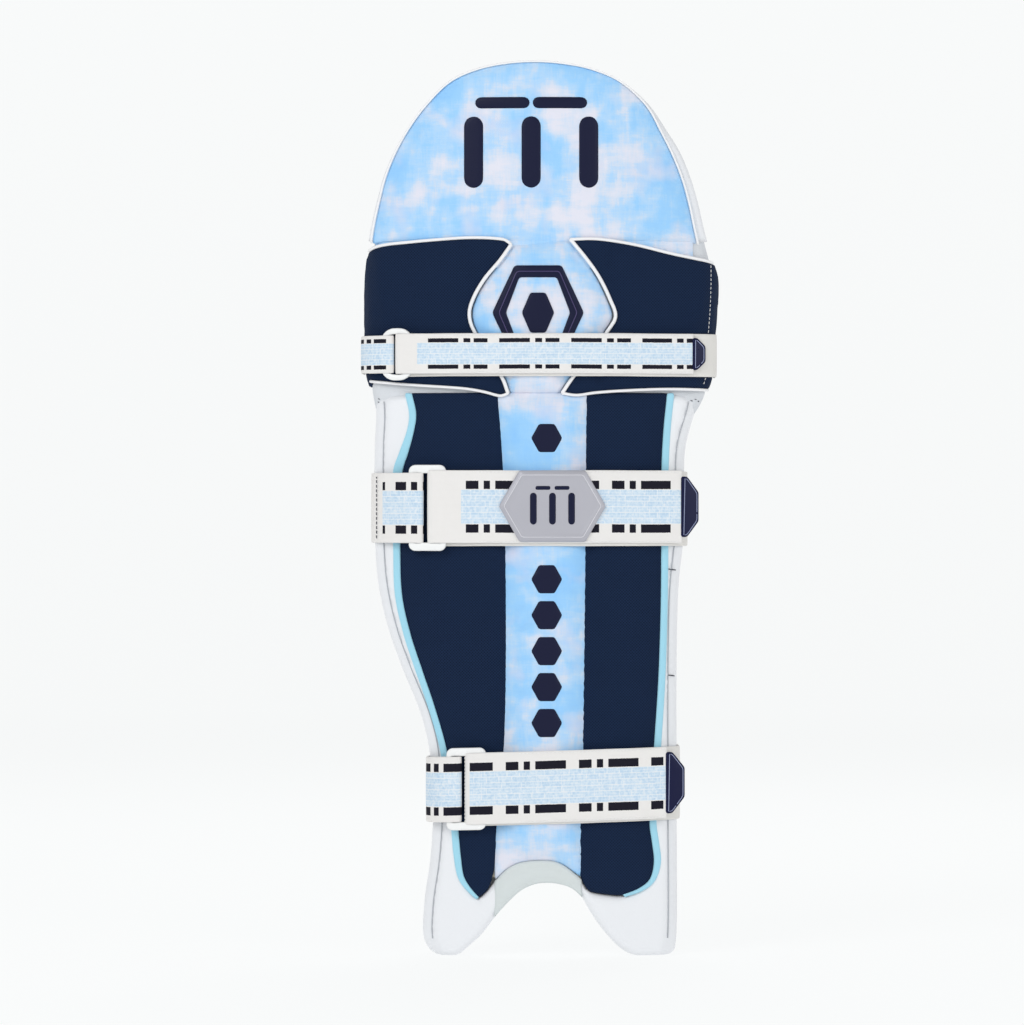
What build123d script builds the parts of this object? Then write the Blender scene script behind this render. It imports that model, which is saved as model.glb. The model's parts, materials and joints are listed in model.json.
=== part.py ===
"""A cricket batting leg pad, standing on its two ankle ears. Millimetres, +Z up, the front faces -Y.

The shin, the knee roll and the top hat are stiff sections that bend backward over each other.
Three straps close over the front: each goes round the right edge, through a loop held by a
keeper on the left edge, and back over itself on hook and loop tape.
"""
import os
from math import acos, cos, degrees, radians, sin, sqrt, tan

from build123d import *

# Whole pad
HEIGHT = 700.0
HALF_WIDTH = 140.5  # to the outside of the straps
KNEE_SEAM = 441.0  # height of the bend between shin and knee roll
HAT_SEAM = 557.0  # height of the bend between knee roll and top hat
FRONT_RADIUS = 380.0  # the front curves round the leg

# Depths, measured back from the crown of the front panels
SPINE_PROUD = -5.0
PANEL_PROUD = -2.0
SKIN_BACK = 4.0
CANE_FRONT, CANE_BACK = 13.0, 16.0
FOAM_BACK = 24.0
LINING_BACK = 27.0
SHIN_BOLSTER_RISE = 31.0  # above the deepest point of the lining
KNEE_BOLSTER_RISE = 33.0
CENTRE_PAD_RISE = 9.0
CALF_WING_DEPTH = 92.0
INNER_WING_DEPTH = 72.0
HAT_WING_DEPTH = 58.0
EMBLEM_THICK = 0.5
BADGE_THICK = 3.0

# Straps: their layers, from the pad outward
STRAP_THICK = 1.6
UNDER_FRONT = -7.2
HOOK_THICK = 0.6
FLAP_BACK = UNDER_FRONT - HOOK_THICK
FLAP_FRONT = FLAP_BACK - STRAP_THICK
BADGE_FRONT = FLAP_FRONT - BADGE_THICK
FOLD_INNER = 2.6  # the fold turns round the loop's bar with this radius
FOLD_OUTER = FOLD_INNER + STRAP_THICK
BAR_Y = UNDER_FRONT + STRAP_THICK - FOLD_OUTER  # depth of the loop's bars
BAR_WIDTH, BAR_THICK = 3.2, 3.0
LOOP_INNER_CORNER, LOOP_EDGE = 1.8, 0.9
EDGE_TURN = 9.0  # radius of a strap where it turns round the pad's edge

# The bends: the sections touch in front of the hinge line and open as a notch behind it
HINGE_DEPTH = 18.0
NOTCH = tan(radians(11.5))
SEAM_GAP = 0.2
WING_WALL = 17.0

# The box round the pad is centred on the origin in X and Y
CROWN_Y = -(CALF_WING_DEPTH + BADGE_FRONT - EMBLEM_THICK) / 2
HINGE_Y = CROWN_Y + HINGE_DEPTH
FAR = 400.0  # more than any cutting shape needs
SIDE = 150.0  # half width of the plan shapes, beyond the pad's edges
REAR = 120.0  # depth behind every sub-part
AHEAD = -30.0  # depth in front of every sub-part

os.makedirs("parts", exist_ok=True)


def finish(piece, name):
    """Names a finished sub-part and writes it."""
    piece.part.label = name
    export_step(piece.part, f"parts/{name}.step")


def crown(x, depth):
    """Y of the curved front at x, for a layer at the given depth."""
    return CROWN_Y + depth + FRONT_RADIUS - sqrt(FRONT_RADIUS**2 - x**2)


def seen(*curves):
    """A flat shape in the front view from runs of points: two points make a line, more a spline."""
    with BuildSketch(Plane.XZ) as shape:
        with BuildLine():
            for run in curves:
                if len(run) == 2:
                    Line(*run)
                else:
                    Spline(*run)
        make_face()
    return shape.sketch


def closed(*points):
    """A flat shape in the front view with straight edges."""
    with BuildSketch(Plane.XZ) as shape:
        with BuildLine():
            Polyline(*points, close=True)
        make_face()
    return shape.sketch


def between(front, back):
    """The plan of a layer of the curved front, between two depths."""
    with BuildSketch(Plane.XY) as plan:
        with BuildLine():
            ThreePointArc((-SIDE, crown(-SIDE, front)), (0, crown(0, front)), (SIDE, crown(SIDE, front)))
            Line((SIDE, crown(SIDE, front)), (SIDE, crown(SIDE, back)))
            ThreePointArc((SIDE, crown(SIDE, back)), (0, crown(0, back)), (-SIDE, crown(-SIDE, back)))
            Line((-SIDE, crown(-SIDE, back)), (-SIDE, crown(-SIDE, front)))
        make_face()
    return plan.sketch


def behind(depth, back):
    """The plan of everything behind one layer of the front, as far back as a flat rear."""
    with BuildSketch(Plane.XY) as plan:
        with BuildLine():
            ThreePointArc((-SIDE, crown(-SIDE, depth)), (0, crown(0, depth)), (SIDE, crown(SIDE, depth)))
            Polyline((SIDE, crown(SIDE, depth)), (SIDE, CROWN_Y + back), (-SIDE, CROWN_Y + back),
                     (-SIDE, crown(-SIDE, depth)))
        make_face()
    return plan.sketch


def side(*points):
    """A shape in the side view, as depth and height, that spans the whole width when it is extruded."""
    with BuildSketch(Plane.YZ.offset(-FAR / 2)) as shape:
        with BuildLine():
            Polyline(*[(CROWN_Y + depth, z) for depth, z in points], close=True)
        make_face()
    return shape.sketch


def notch(z, sign):
    """The face of a bend in the side view: flat in front of the hinge, sloping away behind it."""
    seam = z + sign * SEAM_GAP
    return [(AHEAD, seam), (HINGE_DEPTH, seam), (REAR, seam + sign * (REAR - HINGE_DEPTH) * NOTCH)]


OVER_TOP = HEIGHT + 20.0
SHIN_SIDE = side((AHEAD, 0), *notch(KNEE_SEAM, -1), (REAR, 0))
KNEE_SIDE = side(*notch(KNEE_SEAM, 1), *reversed(notch(HAT_SEAM, -1)))
HAT_SIDE = side(*notch(HAT_SEAM, 1), (REAR, OVER_TOP), (AHEAD, OVER_TOP))

# Front-view edges of the pad, bottom to top
LEFT_SHIN = [(-84, 0), (-92, 20), (-86, 100), (-95, 180), (-121, 255), (-131, 330), (-131, 400),
             (-135, 441)]
RIGHT_SHIN = [(103, 0), (106.5, 20), (106, 120), (106, 230), (112, 340), (114, 400), (131, 441)]
LEFT_KNEE = [(-135, 441), (-137.5, 462), (-137.5, 530), (-136, 557)]
RIGHT_KNEE = [(131, 441), (135, 462), (136, 520), (130, 557)]
ARCH = [(-66, 0), (-48, 16), (-26, 42), (5, 58), (32, 47), (52, 18), (72, 0)]
HAT_TOP = [(-136, 557), (-124, 610), (-98, 657), (-48, 693.5), (-3, HEIGHT), (40, 693.5), (90, 657),
           (117, 610), (130, 557)]


def shifted(points, distance):
    """The same edge moved sideways."""
    return [(x + distance, z) for x, z in points]


def wall(edge, width):
    """A strip of the front view along a side edge, on the pad's side of it."""
    inner = shifted(edge, width)
    return seen(edge, [edge[-1], inner[-1]], list(reversed(inner)), [inner[0], edge[0]])


SHIN_INSIDE = seen(
    shifted(LEFT_SHIN, WING_WALL),
    [(LEFT_SHIN[-1][0] + WING_WALL, 441), (RIGHT_SHIN[-1][0] - WING_WALL, 441)],
    list(reversed(shifted(RIGHT_SHIN, -WING_WALL))),
    [(103 - WING_WALL, 0), (72, 0)],
    list(reversed(ARCH)),
    [(-66, 0), (-84 + WING_WALL, 0)],
)
KNEE_INSIDE = seen(
    shifted(LEFT_KNEE, WING_WALL),
    [(-136 + WING_WALL, 557), (130 - WING_WALL, 557)],
    list(reversed(shifted(RIGHT_KNEE, -WING_WALL))),
    [(131 - WING_WALL, 441), (-135 + WING_WALL, 441)],
)
HAT_OUTLINE = seen(HAT_TOP, [(130, 557), (-136, 557)])
EARS_TOP = 62.0


def layer(outline, front, back, profile):
    """A layer of one section: a front-view outline kept between two depths and a side view."""
    with BuildPart() as piece:
        extrude(outline, amount=FAR, both=True)
        extrude(between(front, back), amount=2 * FAR, mode=Mode.INTERSECT)
        extrude(profile, amount=FAR, mode=Mode.INTERSECT)
    return piece


def clipped(piece, low, high):
    """The same piece kept between two heights."""
    with BuildPart() as kept:
        add(piece.part)
        with Locations((0, 0, (low + high) / 2)):
            Box(FAR, FAR, high - low, mode=Mode.INTERSECT)
    return kept


# Shin: foam, canes and lining
finish(clipped(layer(SHIN_INSIDE, SKIN_BACK, CANE_FRONT, SHIN_SIDE), EARS_TOP, KNEE_SEAM), "shin_front_foam")
finish(clipped(layer(SHIN_INSIDE, CANE_BACK, FOAM_BACK, SHIN_SIDE), EARS_TOP, KNEE_SEAM), "shin_back_foam")
finish(clipped(layer(SHIN_INSIDE, FOAM_BACK, LINING_BACK, SHIN_SIDE), EARS_TOP, KNEE_SEAM), "shin_lining")

CANE_WIDTH, CANE_PITCH, CANE_COUNT = 11.0, 14.0, 9
CANE_MARGIN = 6.0  # the canes stop this far from the ends of their section


def canes(low, high):
    """A row of flat upright canes laid side by side between the two foams."""
    with BuildPart() as row:
        with Locations((0, 0, (low + high) / 2)):
            with GridLocations(CANE_PITCH, 1, CANE_COUNT, 1):
                Box(CANE_WIDTH, FAR, high - low - 2 * CANE_MARGIN)
        extrude(between(CANE_FRONT, CANE_BACK), amount=2 * FAR, mode=Mode.INTERSECT)
    return row


finish(canes(EARS_TOP, KNEE_SEAM), "shin_canes")
finish(canes(KNEE_SEAM, HAT_SEAM), "knee_canes")

ARCH_CROWN = 5.0
for name, low_x, high_x in [("ankle_ear_left", -SIDE, ARCH_CROWN), ("ankle_ear_right", ARCH_CROWN, SIDE)]:
    with BuildPart() as ear:
        add(layer(SHIN_INSIDE, SKIN_BACK, LINING_BACK, SHIN_SIDE).part)
        with Locations(((low_x + high_x) / 2, 0, EARS_TOP / 2)):
            Box(high_x - low_x, FAR, EARS_TOP, mode=Mode.INTERSECT)
    finish(ear, name)

# Shin: skins on the front
LEFT_PANEL = seen(
    [(-35, 440), (-29, 310), (-30, 170), (-36, 101), (-38, 64), (-49.5, 46)],
    [(-49.5, 46), (-60.5, 62), (-65, 98), (-83.5, 195), (-103, 252), (-111, 318), (-105, 393), (-102, 440)],
    [(-102, 440), (-35, 440)],
)
RIGHT_PANEL = seen(
    [(36, 440), (35, 310), (33, 170), (31, 104), (30, 62), (49, 49)],
    [(49, 49), (77, 54), (88, 73), (85, 104), (89, 170), (94, 279), (94.5, 381), (98, 440)],
    [(98, 440), (36, 440)],
)
SPINE = seen(
    [(-33.5, 440), (-27.5, 310), (-28.5, 170), (-34, 110), (-35, 74)],
    [(-35, 74), (-12, 76.5), (2, 77.5), (15, 76.5), (28, 70)],
    [(28, 70), (28.5, 104), (30.5, 170), (32.5, 310), (34, 440)],
    [(34, 440), (-33.5, 440)],
) - LEFT_PANEL - RIGHT_PANEL
finish(layer(LEFT_PANEL, PANEL_PROUD, SKIN_BACK, SHIN_SIDE), "shin_panel_left")
finish(layer(RIGHT_PANEL, PANEL_PROUD, SKIN_BACK, SHIN_SIDE), "shin_panel_right")
finish(layer(SPINE, SPINE_PROUD, SKIN_BACK, SHIN_SIDE), "shin_spine")

# A strip of trim beside the outer edge of each panel
TRIM = 4.5
TRIM_PROUD = 1.0
LEFT_TRIM_EDGE = [(-66.5, 98), (-85, 195), (-104.5, 252), (-112.5, 318), (-106.5, 393), (-103.5, 440)]
RIGHT_TRIM_EDGE = [(86.5, 104), (90.5, 170), (95.5, 279), (96, 381), (99.5, 440)]
finish(layer(wall(LEFT_TRIM_EDGE, -TRIM) - LEFT_PANEL, TRIM_PROUD, SKIN_BACK, SHIN_SIDE), "wing_trim_left")
finish(layer(wall(RIGHT_TRIM_EDGE, TRIM) - RIGHT_PANEL, TRIM_PROUD, SKIN_BACK, SHIN_SIDE), "wing_trim_right")

# The band that lines the arch over the foot
ARCH_BAND = seen(
    [(-37, 57), (-16, 71), (2, 74.5), (14, 72.5), (28, 62)],
    [(28, 62), (20, 57)],
    [(20, 57), (5, 61), (-26, 46)],
    [(-26, 46), (-37, 57)],
)
finish(layer(ARCH_BAND, TRIM_PROUD, SKIN_BACK, SHIN_SIDE), "instep_binding")


def wing(edge, width, depth, profile, rear):
    """A side wall that runs back from the front, trimmed to the rear edge of the wing."""
    with BuildPart() as piece:
        extrude(wall(edge, width), amount=FAR, both=True)
        extrude(behind(SKIN_BACK, depth), amount=2 * FAR, mode=Mode.INTERSECT)
        extrude(profile, amount=FAR, mode=Mode.INTERSECT)
        extrude(rear, amount=FAR, mode=Mode.INTERSECT)
    return piece


def rear_edge(points):
    """A side view of a wing: everything in front of its rear edge."""
    return side((AHEAD, points[0][1]), *points, (AHEAD, points[-1][1]))


CALF_REAR = rear_edge([(66, 0), (62, 60), (72, 150), (88, 250), (CALF_WING_DEPTH, 330), (84, 400),
                       (60, 441)])
INNER_REAR = rear_edge([(66, 0), (62, 60), (66, 150), (70, 250), (INNER_WING_DEPTH, 330), (70, 400),
                        (55, 441)])
KNEE_REAR = rear_edge([(62, 441), (72, 470), (72, 530), (62, 557)])
HAT_REAR = rear_edge([(HAT_WING_DEPTH, 557), (50, 590), (36, 640), (27, 700)])
finish(wing(LEFT_SHIN, WING_WALL, CALF_WING_DEPTH, SHIN_SIDE, CALF_REAR), "shin_wing_left")
finish(wing(RIGHT_SHIN, -WING_WALL, INNER_WING_DEPTH, SHIN_SIDE, INNER_REAR), "shin_wing_right")


def cushion(x, z, width, height, rise, lean=0.0):
    """A soft bolster that lies on the curved lining, with its leg side rounded."""
    back = LINING_BACK + rise
    with BuildPart() as piece:
        with BuildSketch(Plane.XZ.offset(-CROWN_Y - LINING_BACK)) as outline:
            with Locations(Location((x, z), lean)):
                RectangleRounded(width, height, width * 0.45)
        extrude(amount=-rise)
        fillet(piece.faces().sort_by(Axis.Y)[-1].edges(), radius=min(rise, width / 2) * 0.4)
        extrude(behind(LINING_BACK + 0.1, 2 * back), amount=2 * FAR, mode=Mode.INTERSECT)
    return piece


# Leg side of the shin: two upright bolsters and a thin pad between them
finish(cushion(-68, 262, 38, 300, SHIN_BOLSTER_RISE, 8.5), "shin_bolster_left")
finish(cushion(66, 258, 36, 300, SHIN_BOLSTER_RISE, -1.5), "shin_bolster_right")
finish(cushion(4, 262, 50, 320, CENTRE_PAD_RISE), "shin_centre_pad")

# Knee roll
finish(layer(KNEE_INSIDE, SKIN_BACK, CANE_FRONT, KNEE_SIDE), "knee_front_foam")
finish(layer(KNEE_INSIDE, CANE_BACK, FOAM_BACK, KNEE_SIDE), "knee_back_foam")
finish(layer(KNEE_INSIDE, FOAM_BACK, LINING_BACK, KNEE_SIDE), "knee_lining")
finish(cushion(-78, 499, 44, 82, KNEE_BOLSTER_RISE), "knee_bolster_left")
finish(cushion(76, 499, 44, 82, KNEE_BOLSTER_RISE), "knee_bolster_right")

HEX_LEFT = [(-24, 441), (-56, 500), (-23, 557)]
HEX_RIGHT = [(22, 557), (57, 500), (14, 441)]
PIPING = 3.0
PIPING_PROUD = -4.0
finish(layer(closed(*HEX_LEFT, *HEX_RIGHT), SPINE_PROUD, SKIN_BACK, KNEE_SIDE), "knee_hex_panel")
for name, edge, sign in [("knee_piping_left", HEX_LEFT, -1), ("knee_piping_right", HEX_RIGHT, 1)]:
    strip = closed(*edge, *shifted(list(reversed(edge)), sign * PIPING))
    finish(layer(strip, PIPING_PROUD, SKIN_BACK, KNEE_SIDE), name)


def knee_flap(edge, hexagon, sign):
    """A mesh flap of the knee roll: it covers the front beside the hexagon and goes round the edge."""
    front = shifted(hexagon, sign * PIPING)
    low, high = sorted([front[0], front[-1]], key=lambda point: point[1])
    outer = sorted(edge, key=lambda point: point[1])
    facing = seen(outer, [outer[-1], high], [high, front[1]], [front[1], low], [low, outer[0]])
    with BuildPart() as flap:
        add(layer(facing, PANEL_PROUD, SKIN_BACK, KNEE_SIDE).part)
        add(wing(edge, -sign * WING_WALL, INNER_WING_DEPTH, KNEE_SIDE, KNEE_REAR).part)
    return flap


finish(knee_flap(LEFT_KNEE, HEX_LEFT, -1), "knee_flap_left")
finish(knee_flap(RIGHT_KNEE, HEX_RIGHT, 1), "knee_flap_right")


def hexagon(x, z, half_width, half_height, half_top):
    """A hexagon in the front view, with flat top and bottom."""
    corners = [(-half_top, half_height), (half_top, half_height), (half_width, 0),
               (half_top, -half_height), (-half_top, -half_height), (-half_width, 0)]
    return closed(*[(x + dx, z + dz) for dx, dz in corners])


HEX_X, HEX_Z = -2.7, 502.7
RING_OUTER = (35.3, 36.9, 18.2)  # half width, half height, half of the flat top
RING_INNER = (24.6, 27.5, 14.4)
RING_CENTRE = (12.5, 15.6, 5.9)
EMBLEM_FRONT = SPINE_PROUD - EMBLEM_THICK
with BuildPart() as ring:
    add(layer(hexagon(HEX_X, HEX_Z, *RING_OUTER), EMBLEM_FRONT, SPINE_PROUD, KNEE_SIDE).part)
    extrude(hexagon(HEX_X, HEX_Z, *RING_INNER), amount=FAR, both=True, mode=Mode.SUBTRACT)
finish(ring, "knee_hex_ring")
finish(layer(hexagon(HEX_X, HEX_Z, *RING_CENTRE), EMBLEM_FRONT, SPINE_PROUD, KNEE_SIDE), "knee_hex_centre")

# Top hat
HAT_LEFT = [(-136, 557), (-129, 592), (-116, 629), (-98, 657), (-86, 668)]
HAT_RIGHT = [(130, 557), (122, 592), (109, 629), (91, 657), (79, 668)]
HAT_LEFT_INNER = [(-86, 655), (-98, 632), (-112, 600), (-136 + WING_WALL, 557)]
HAT_RIGHT_INNER = [(78, 655), (92, 632), (105, 600), (130 - WING_WALL, 557)]
HAT_INSIDE = seen(
    HAT_LEFT_INNER,
    [(-136 + WING_WALL, 557), (130 - WING_WALL, 557)],
    list(reversed(HAT_RIGHT_INNER)),
    [(78, 655), (40, 690), (-3, HEIGHT - 3), (-48, 690), (-86, 655)],
)


def hat_wing(outer, inner):
    """A side wall of the top hat, tapering out towards the crown."""
    with BuildPart() as piece:
        extrude(seen(outer, [outer[-1], inner[0]], inner, [inner[-1], outer[0]]), amount=FAR, both=True)
        extrude(behind(SKIN_BACK, HAT_WING_DEPTH), amount=2 * FAR, mode=Mode.INTERSECT)
        extrude(HAT_SIDE, amount=FAR, mode=Mode.INTERSECT)
        extrude(HAT_REAR, amount=FAR, mode=Mode.INTERSECT)
    return piece


finish(hat_wing(HAT_LEFT, HAT_LEFT_INNER), "top_hat_wing_left")
finish(hat_wing(HAT_RIGHT, HAT_RIGHT_INNER), "top_hat_wing_right")
HAT_CORE = HAT_INSIDE & HAT_OUTLINE
finish(layer(HAT_OUTLINE, PANEL_PROUD, SKIN_BACK, HAT_SIDE), "top_hat_face")
finish(layer(HAT_CORE, SKIN_BACK, FOAM_BACK, HAT_SIDE), "top_hat_foam")
finish(layer(HAT_CORE, FOAM_BACK, LINING_BACK, HAT_SIDE), "top_hat_lining")


def wicket(x, z, width, height, stroke):
    """A wicket in the front view: three stumps with two bails on top."""
    span = (width - stroke) / 2  # from stump to stump
    bail_z = z + height / 2 + stroke * 0.7
    with BuildSketch(Plane.XZ) as shape:
        with Locations((x, z)):
            with GridLocations(span, 1, 3, 1):
                SlotOverall(height, stroke, rotation=90)
        with Locations((x - span / 2, bail_z), (x + span / 2, bail_z)):
            SlotOverall(span - 2, stroke * 0.6)
    return shape.sketch


HAT_WICKET = wicket(-8, 628, 104, 56, 15)
finish(layer(HAT_WICKET, PANEL_PROUD - EMBLEM_THICK, PANEL_PROUD, HAT_SIDE), "top_hat_emblem")

# A column of hexagons up the spine
MOTIF_X, MOTIF_HEIGHTS = 4, (183, 211, 239, 267, 295, 405)
MOTIF = (12, 11, 6)
with BuildPart() as motif:
    for z in MOTIF_HEIGHTS:
        add(layer(hexagon(MOTIF_X, z, *MOTIF), EMBLEM_FRONT, SPINE_PROUD, SHIN_SIDE).part)
finish(motif, "spine_motif")


def strap_plane(z, tilt):
    """The plan of a strap at its mid height, tilted up to the right by an angle."""
    return Plane(origin=(0, 0, z), x_dir=(cos(radians(tilt)), 0, sin(radians(tilt))),
                 z_dir=(-sin(radians(tilt)), 0, cos(radians(tilt))))


def front_arc(start_x, end_x, depth):
    """A plan line along the front at one depth."""
    middle = (start_x + end_x) / 2
    return ThreePointArc((start_x, crown(start_x, depth)), (middle, crown(middle, depth)),
                         (end_x, crown(end_x, depth)))


def strap_round_edge(start_x, edge_x, depth, rear):
    """The plan of a strap that runs outward along the front, turns the pad's edge and runs back."""
    side_sign = 1 if edge_x > 0 else -1
    reach = abs(edge_x) - STRAP_THICK / 2
    turn_x = (reach - EDGE_TURN) / (1 - EDGE_TURN / FRONT_RADIUS)
    lean = turn_x / FRONT_RADIUS
    with BuildSketch() as plan:
        with BuildLine():
            front_arc(start_x, side_sign * turn_x, depth)
            corner = JernArc((side_sign * turn_x, crown(turn_x, depth)),
                             (side_sign * sqrt(1 - lean**2), lean),
                             EDGE_TURN, side_sign * degrees(acos(lean)))
            Line(corner @ 1, ((corner @ 1).X, CROWN_Y + rear))
            offset(amount=STRAP_THICK / 2, side=Side.BOTH)
        make_face()
    return plan.sketch


def loop_ring(left_bar, right_bar, height, rim, corner, plane):
    """A flat moulded ring: an upright bar on each side, and a rim above and below the strap."""
    span = (right_bar - left_bar).length
    along = plane.x_dir * (right_bar - left_bar).X / span + plane.y_dir * (right_bar - left_bar).Y / span
    ring_plane = Plane(origin=plane.from_local_coords((left_bar + right_bar) / 2), x_dir=along,
                       z_dir=along.cross(plane.z_dir))
    with BuildPart() as ring:
        with BuildSketch(ring_plane):
            RectangleRounded(span + BAR_WIDTH, height, corner)
            RectangleRounded(span - BAR_WIDTH, height - 2 * rim, LOOP_INNER_CORNER, mode=Mode.SUBTRACT)
        extrude(amount=BAR_THICK / 2, both=True)
        faces = ring.faces().sort_by(Axis(ring_plane.origin, ring_plane.z_dir))
        fillet(faces[0].edges() + faces[-1].edges(), radius=LOOP_EDGE)
    return ring


def flap_plan(bar, along, end_x):
    """The plan of a strap's loose end: a fold round the loop's bar, then back along the front."""
    outward = Vector(along.Y, -along.X)
    landing = bar.X + LANDING
    lean = landing / FRONT_RADIUS
    arriving = (sqrt(1 - lean**2), lean)
    with BuildSketch() as plan:
        with BuildLine():
            ThreePointArc(bar - outward * FOLD_OUTER, bar - along * FOLD_OUTER, bar + outward * FOLD_OUTER)
            Spline(bar + outward * FOLD_OUTER, (landing, crown(landing, FLAP_FRONT)),
                   tangents=(along, arriving))
            front_arc(landing, end_x, FLAP_FRONT)
            Line((end_x, crown(end_x, FLAP_FRONT)), (end_x, crown(end_x, FLAP_BACK)))
            front_arc(end_x, landing, FLAP_BACK)
            Spline((landing, crown(landing, FLAP_BACK)), bar + outward * FOLD_INNER,
                   tangents=((-arriving[0], -arriving[1]), -along))
            ThreePointArc(bar + outward * FOLD_INNER, bar - along * FOLD_INNER, bar - outward * FOLD_INNER)
            Line(bar - outward * FOLD_INNER, bar - outward * FOLD_OUTER)
        make_face()
    return plan.sketch


def facing_plane(plane):
    """The front view of a strap, level with it."""
    return Plane(origin=plane.origin, x_dir=plane.x_dir, z_dir=plane.x_dir.cross(plane.z_dir))


STRAPS = {
    "knee": dict(z=470.0, tilt=0.0, height=31.5, keeper_height=29.0, loop_height=40.8, rim=4.0, corner=8.0,
                 bars=(-120.0, -100.0), edges=(-HALF_WIDTH, HALF_WIDTH), flap_end=116.0, tip_end=125.4,
                 tip_height=25.2, rear=60.0),
    "calf": dict(z=350.5, tilt=0.0, height=56.0, keeper_height=54.0, loop_height=67.0, rim=4.6, corner=5.0,
                 bars=(-98.8, -74.6), edges=(-135.0, 116.0), flap_end=107.3, tip_end=120.0, tip_height=47.4,
                 rear=62.0),
    "ankle": dict(z=133.2, tilt=1.6, height=54.6, keeper_height=51.0, loop_height=64.0, rim=4.0, corner=5.0,
                  bars=(-70.3, -44.1), edges=(-93.0, 109.0), flap_end=95.6, tip_end=109.3, tip_height=48.0,
                  rear=56.0),
}
RUN_CLEARANCE = 0.6  # between a fold and the end of the fixed run
LANDING = 30.0  # a loose end reaches the fixed run this far from its bar
TIP_PROUD = 0.4  # the moulded tip stands this far over the webbing
TAPE_MARGIN = 4.0
TAPE_SETBACK = 60.0  # the tape starts this far from the loop's bar
TAPE_THICK = 0.3
TAPE_CLEARANCE = 0.02
TAPE_DEPTH = FLAP_BACK + TAPE_THICK / 2 + TAPE_CLEARANCE

for name, strap in STRAPS.items():
    plane = strap_plane(strap["z"], strap["tilt"])
    half = strap["height"] / 2
    left_bar, right_bar = [Vector(x, crown(x, BAR_Y)) for x in strap["bars"]]
    end_x, tip_x = strap["flap_end"], strap["tip_end"]

    ring = loop_ring(left_bar, right_bar, strap["loop_height"], strap["rim"], strap["corner"], plane)
    finish(ring, f"{name}_loop")

    # The keeper is fixed to the left edge and turned round the loop's left bar
    tail_start = left_bar.X - FOLD_INNER - STRAP_THICK / 2
    with BuildPart() as keeper:
        extrude(plane * strap_round_edge(tail_start, strap["edges"][0], BAR_Y, strap["rear"]),
                amount=strap["keeper_height"] / 2, both=True)
        with BuildSketch(plane):
            with Locations(left_bar):
                Circle(FOLD_OUTER)
                Circle(FOLD_INNER, mode=Mode.SUBTRACT)
        extrude(amount=strap["keeper_height"] / 2, both=True)
    finish(keeper, f"{name}_keeper")

    # The fixed run starts behind the loop, crosses the front and turns the right edge
    run_start = right_bar.X + FOLD_OUTER + RUN_CLEARANCE
    with BuildPart() as run:
        extrude(plane * strap_round_edge(run_start, strap["edges"][1], UNDER_FRONT + STRAP_THICK / 2,
                                         strap["rear"]), amount=half, both=True)
    finish(run, f"{name}_strap")

    with BuildPart() as flap:
        plan = flap_plan(right_bar, (right_bar - left_bar).normalized(), end_x)
        extrude(plane * plan, amount=half, both=True)
    finish(flap, f"{name}_flap")

    # The moulded tip is a little thicker than the webbing and has clipped corners
    clip_x = tip_x - (tip_x - end_x) * 0.7
    tall, short = strap["tip_height"] / 2, strap["tip_height"] * 0.24
    with BuildPart() as tip:
        with BuildSketch(facing_plane(plane)):
            with BuildLine():
                Polyline((end_x, -tall), (clip_x, -tall), (tip_x, -short), (tip_x, short), (clip_x, tall),
                         (end_x, tall), close=True)
            make_face()
        extrude(amount=FAR, both=True)
        extrude(between(FLAP_FRONT - TIP_PROUD, FLAP_BACK), amount=2 * FAR, mode=Mode.INTERSECT)
    finish(tip, f"{name}_strap_tip")

    # Hook tape on the back of the loose end
    with BuildSketch() as tape_plan:
        with BuildLine():
            tape_start = right_bar.X + TAPE_SETBACK
            front_arc(tape_start, end_x, TAPE_DEPTH)
            offset(amount=TAPE_THICK / 2, side=Side.BOTH)
        make_face()
    with BuildPart() as tape:
        extrude(plane * tape_plan.sketch, amount=half - TAPE_MARGIN, both=True)
    finish(tape, f"{name}_hook_tape")

# The badge on the calf strap, with a small wicket
BADGE_X, BADGE_Z = 8.2, 352.0
BADGE = (40.6, 27.8, 25)
BADGE_WICKET = wicket(BADGE_X, BADGE_Z - 2, 34, 25, 5.2)
finish(layer(hexagon(BADGE_X, BADGE_Z, *BADGE), BADGE_FRONT, FLAP_FRONT, SHIN_SIDE), "calf_badge")
finish(layer(BADGE_WICKET, BADGE_FRONT - EMBLEM_THICK, BADGE_FRONT, SHIN_SIDE), "calf_badge_emblem")
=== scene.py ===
"""Looks of a cricket batting leg pad: padded panels, wings, straps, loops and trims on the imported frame."""
import json
import math

import bmesh
import bpy
import numpy as np
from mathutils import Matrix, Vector, geometry
from mathutils.bvhtree import BVHTree

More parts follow.
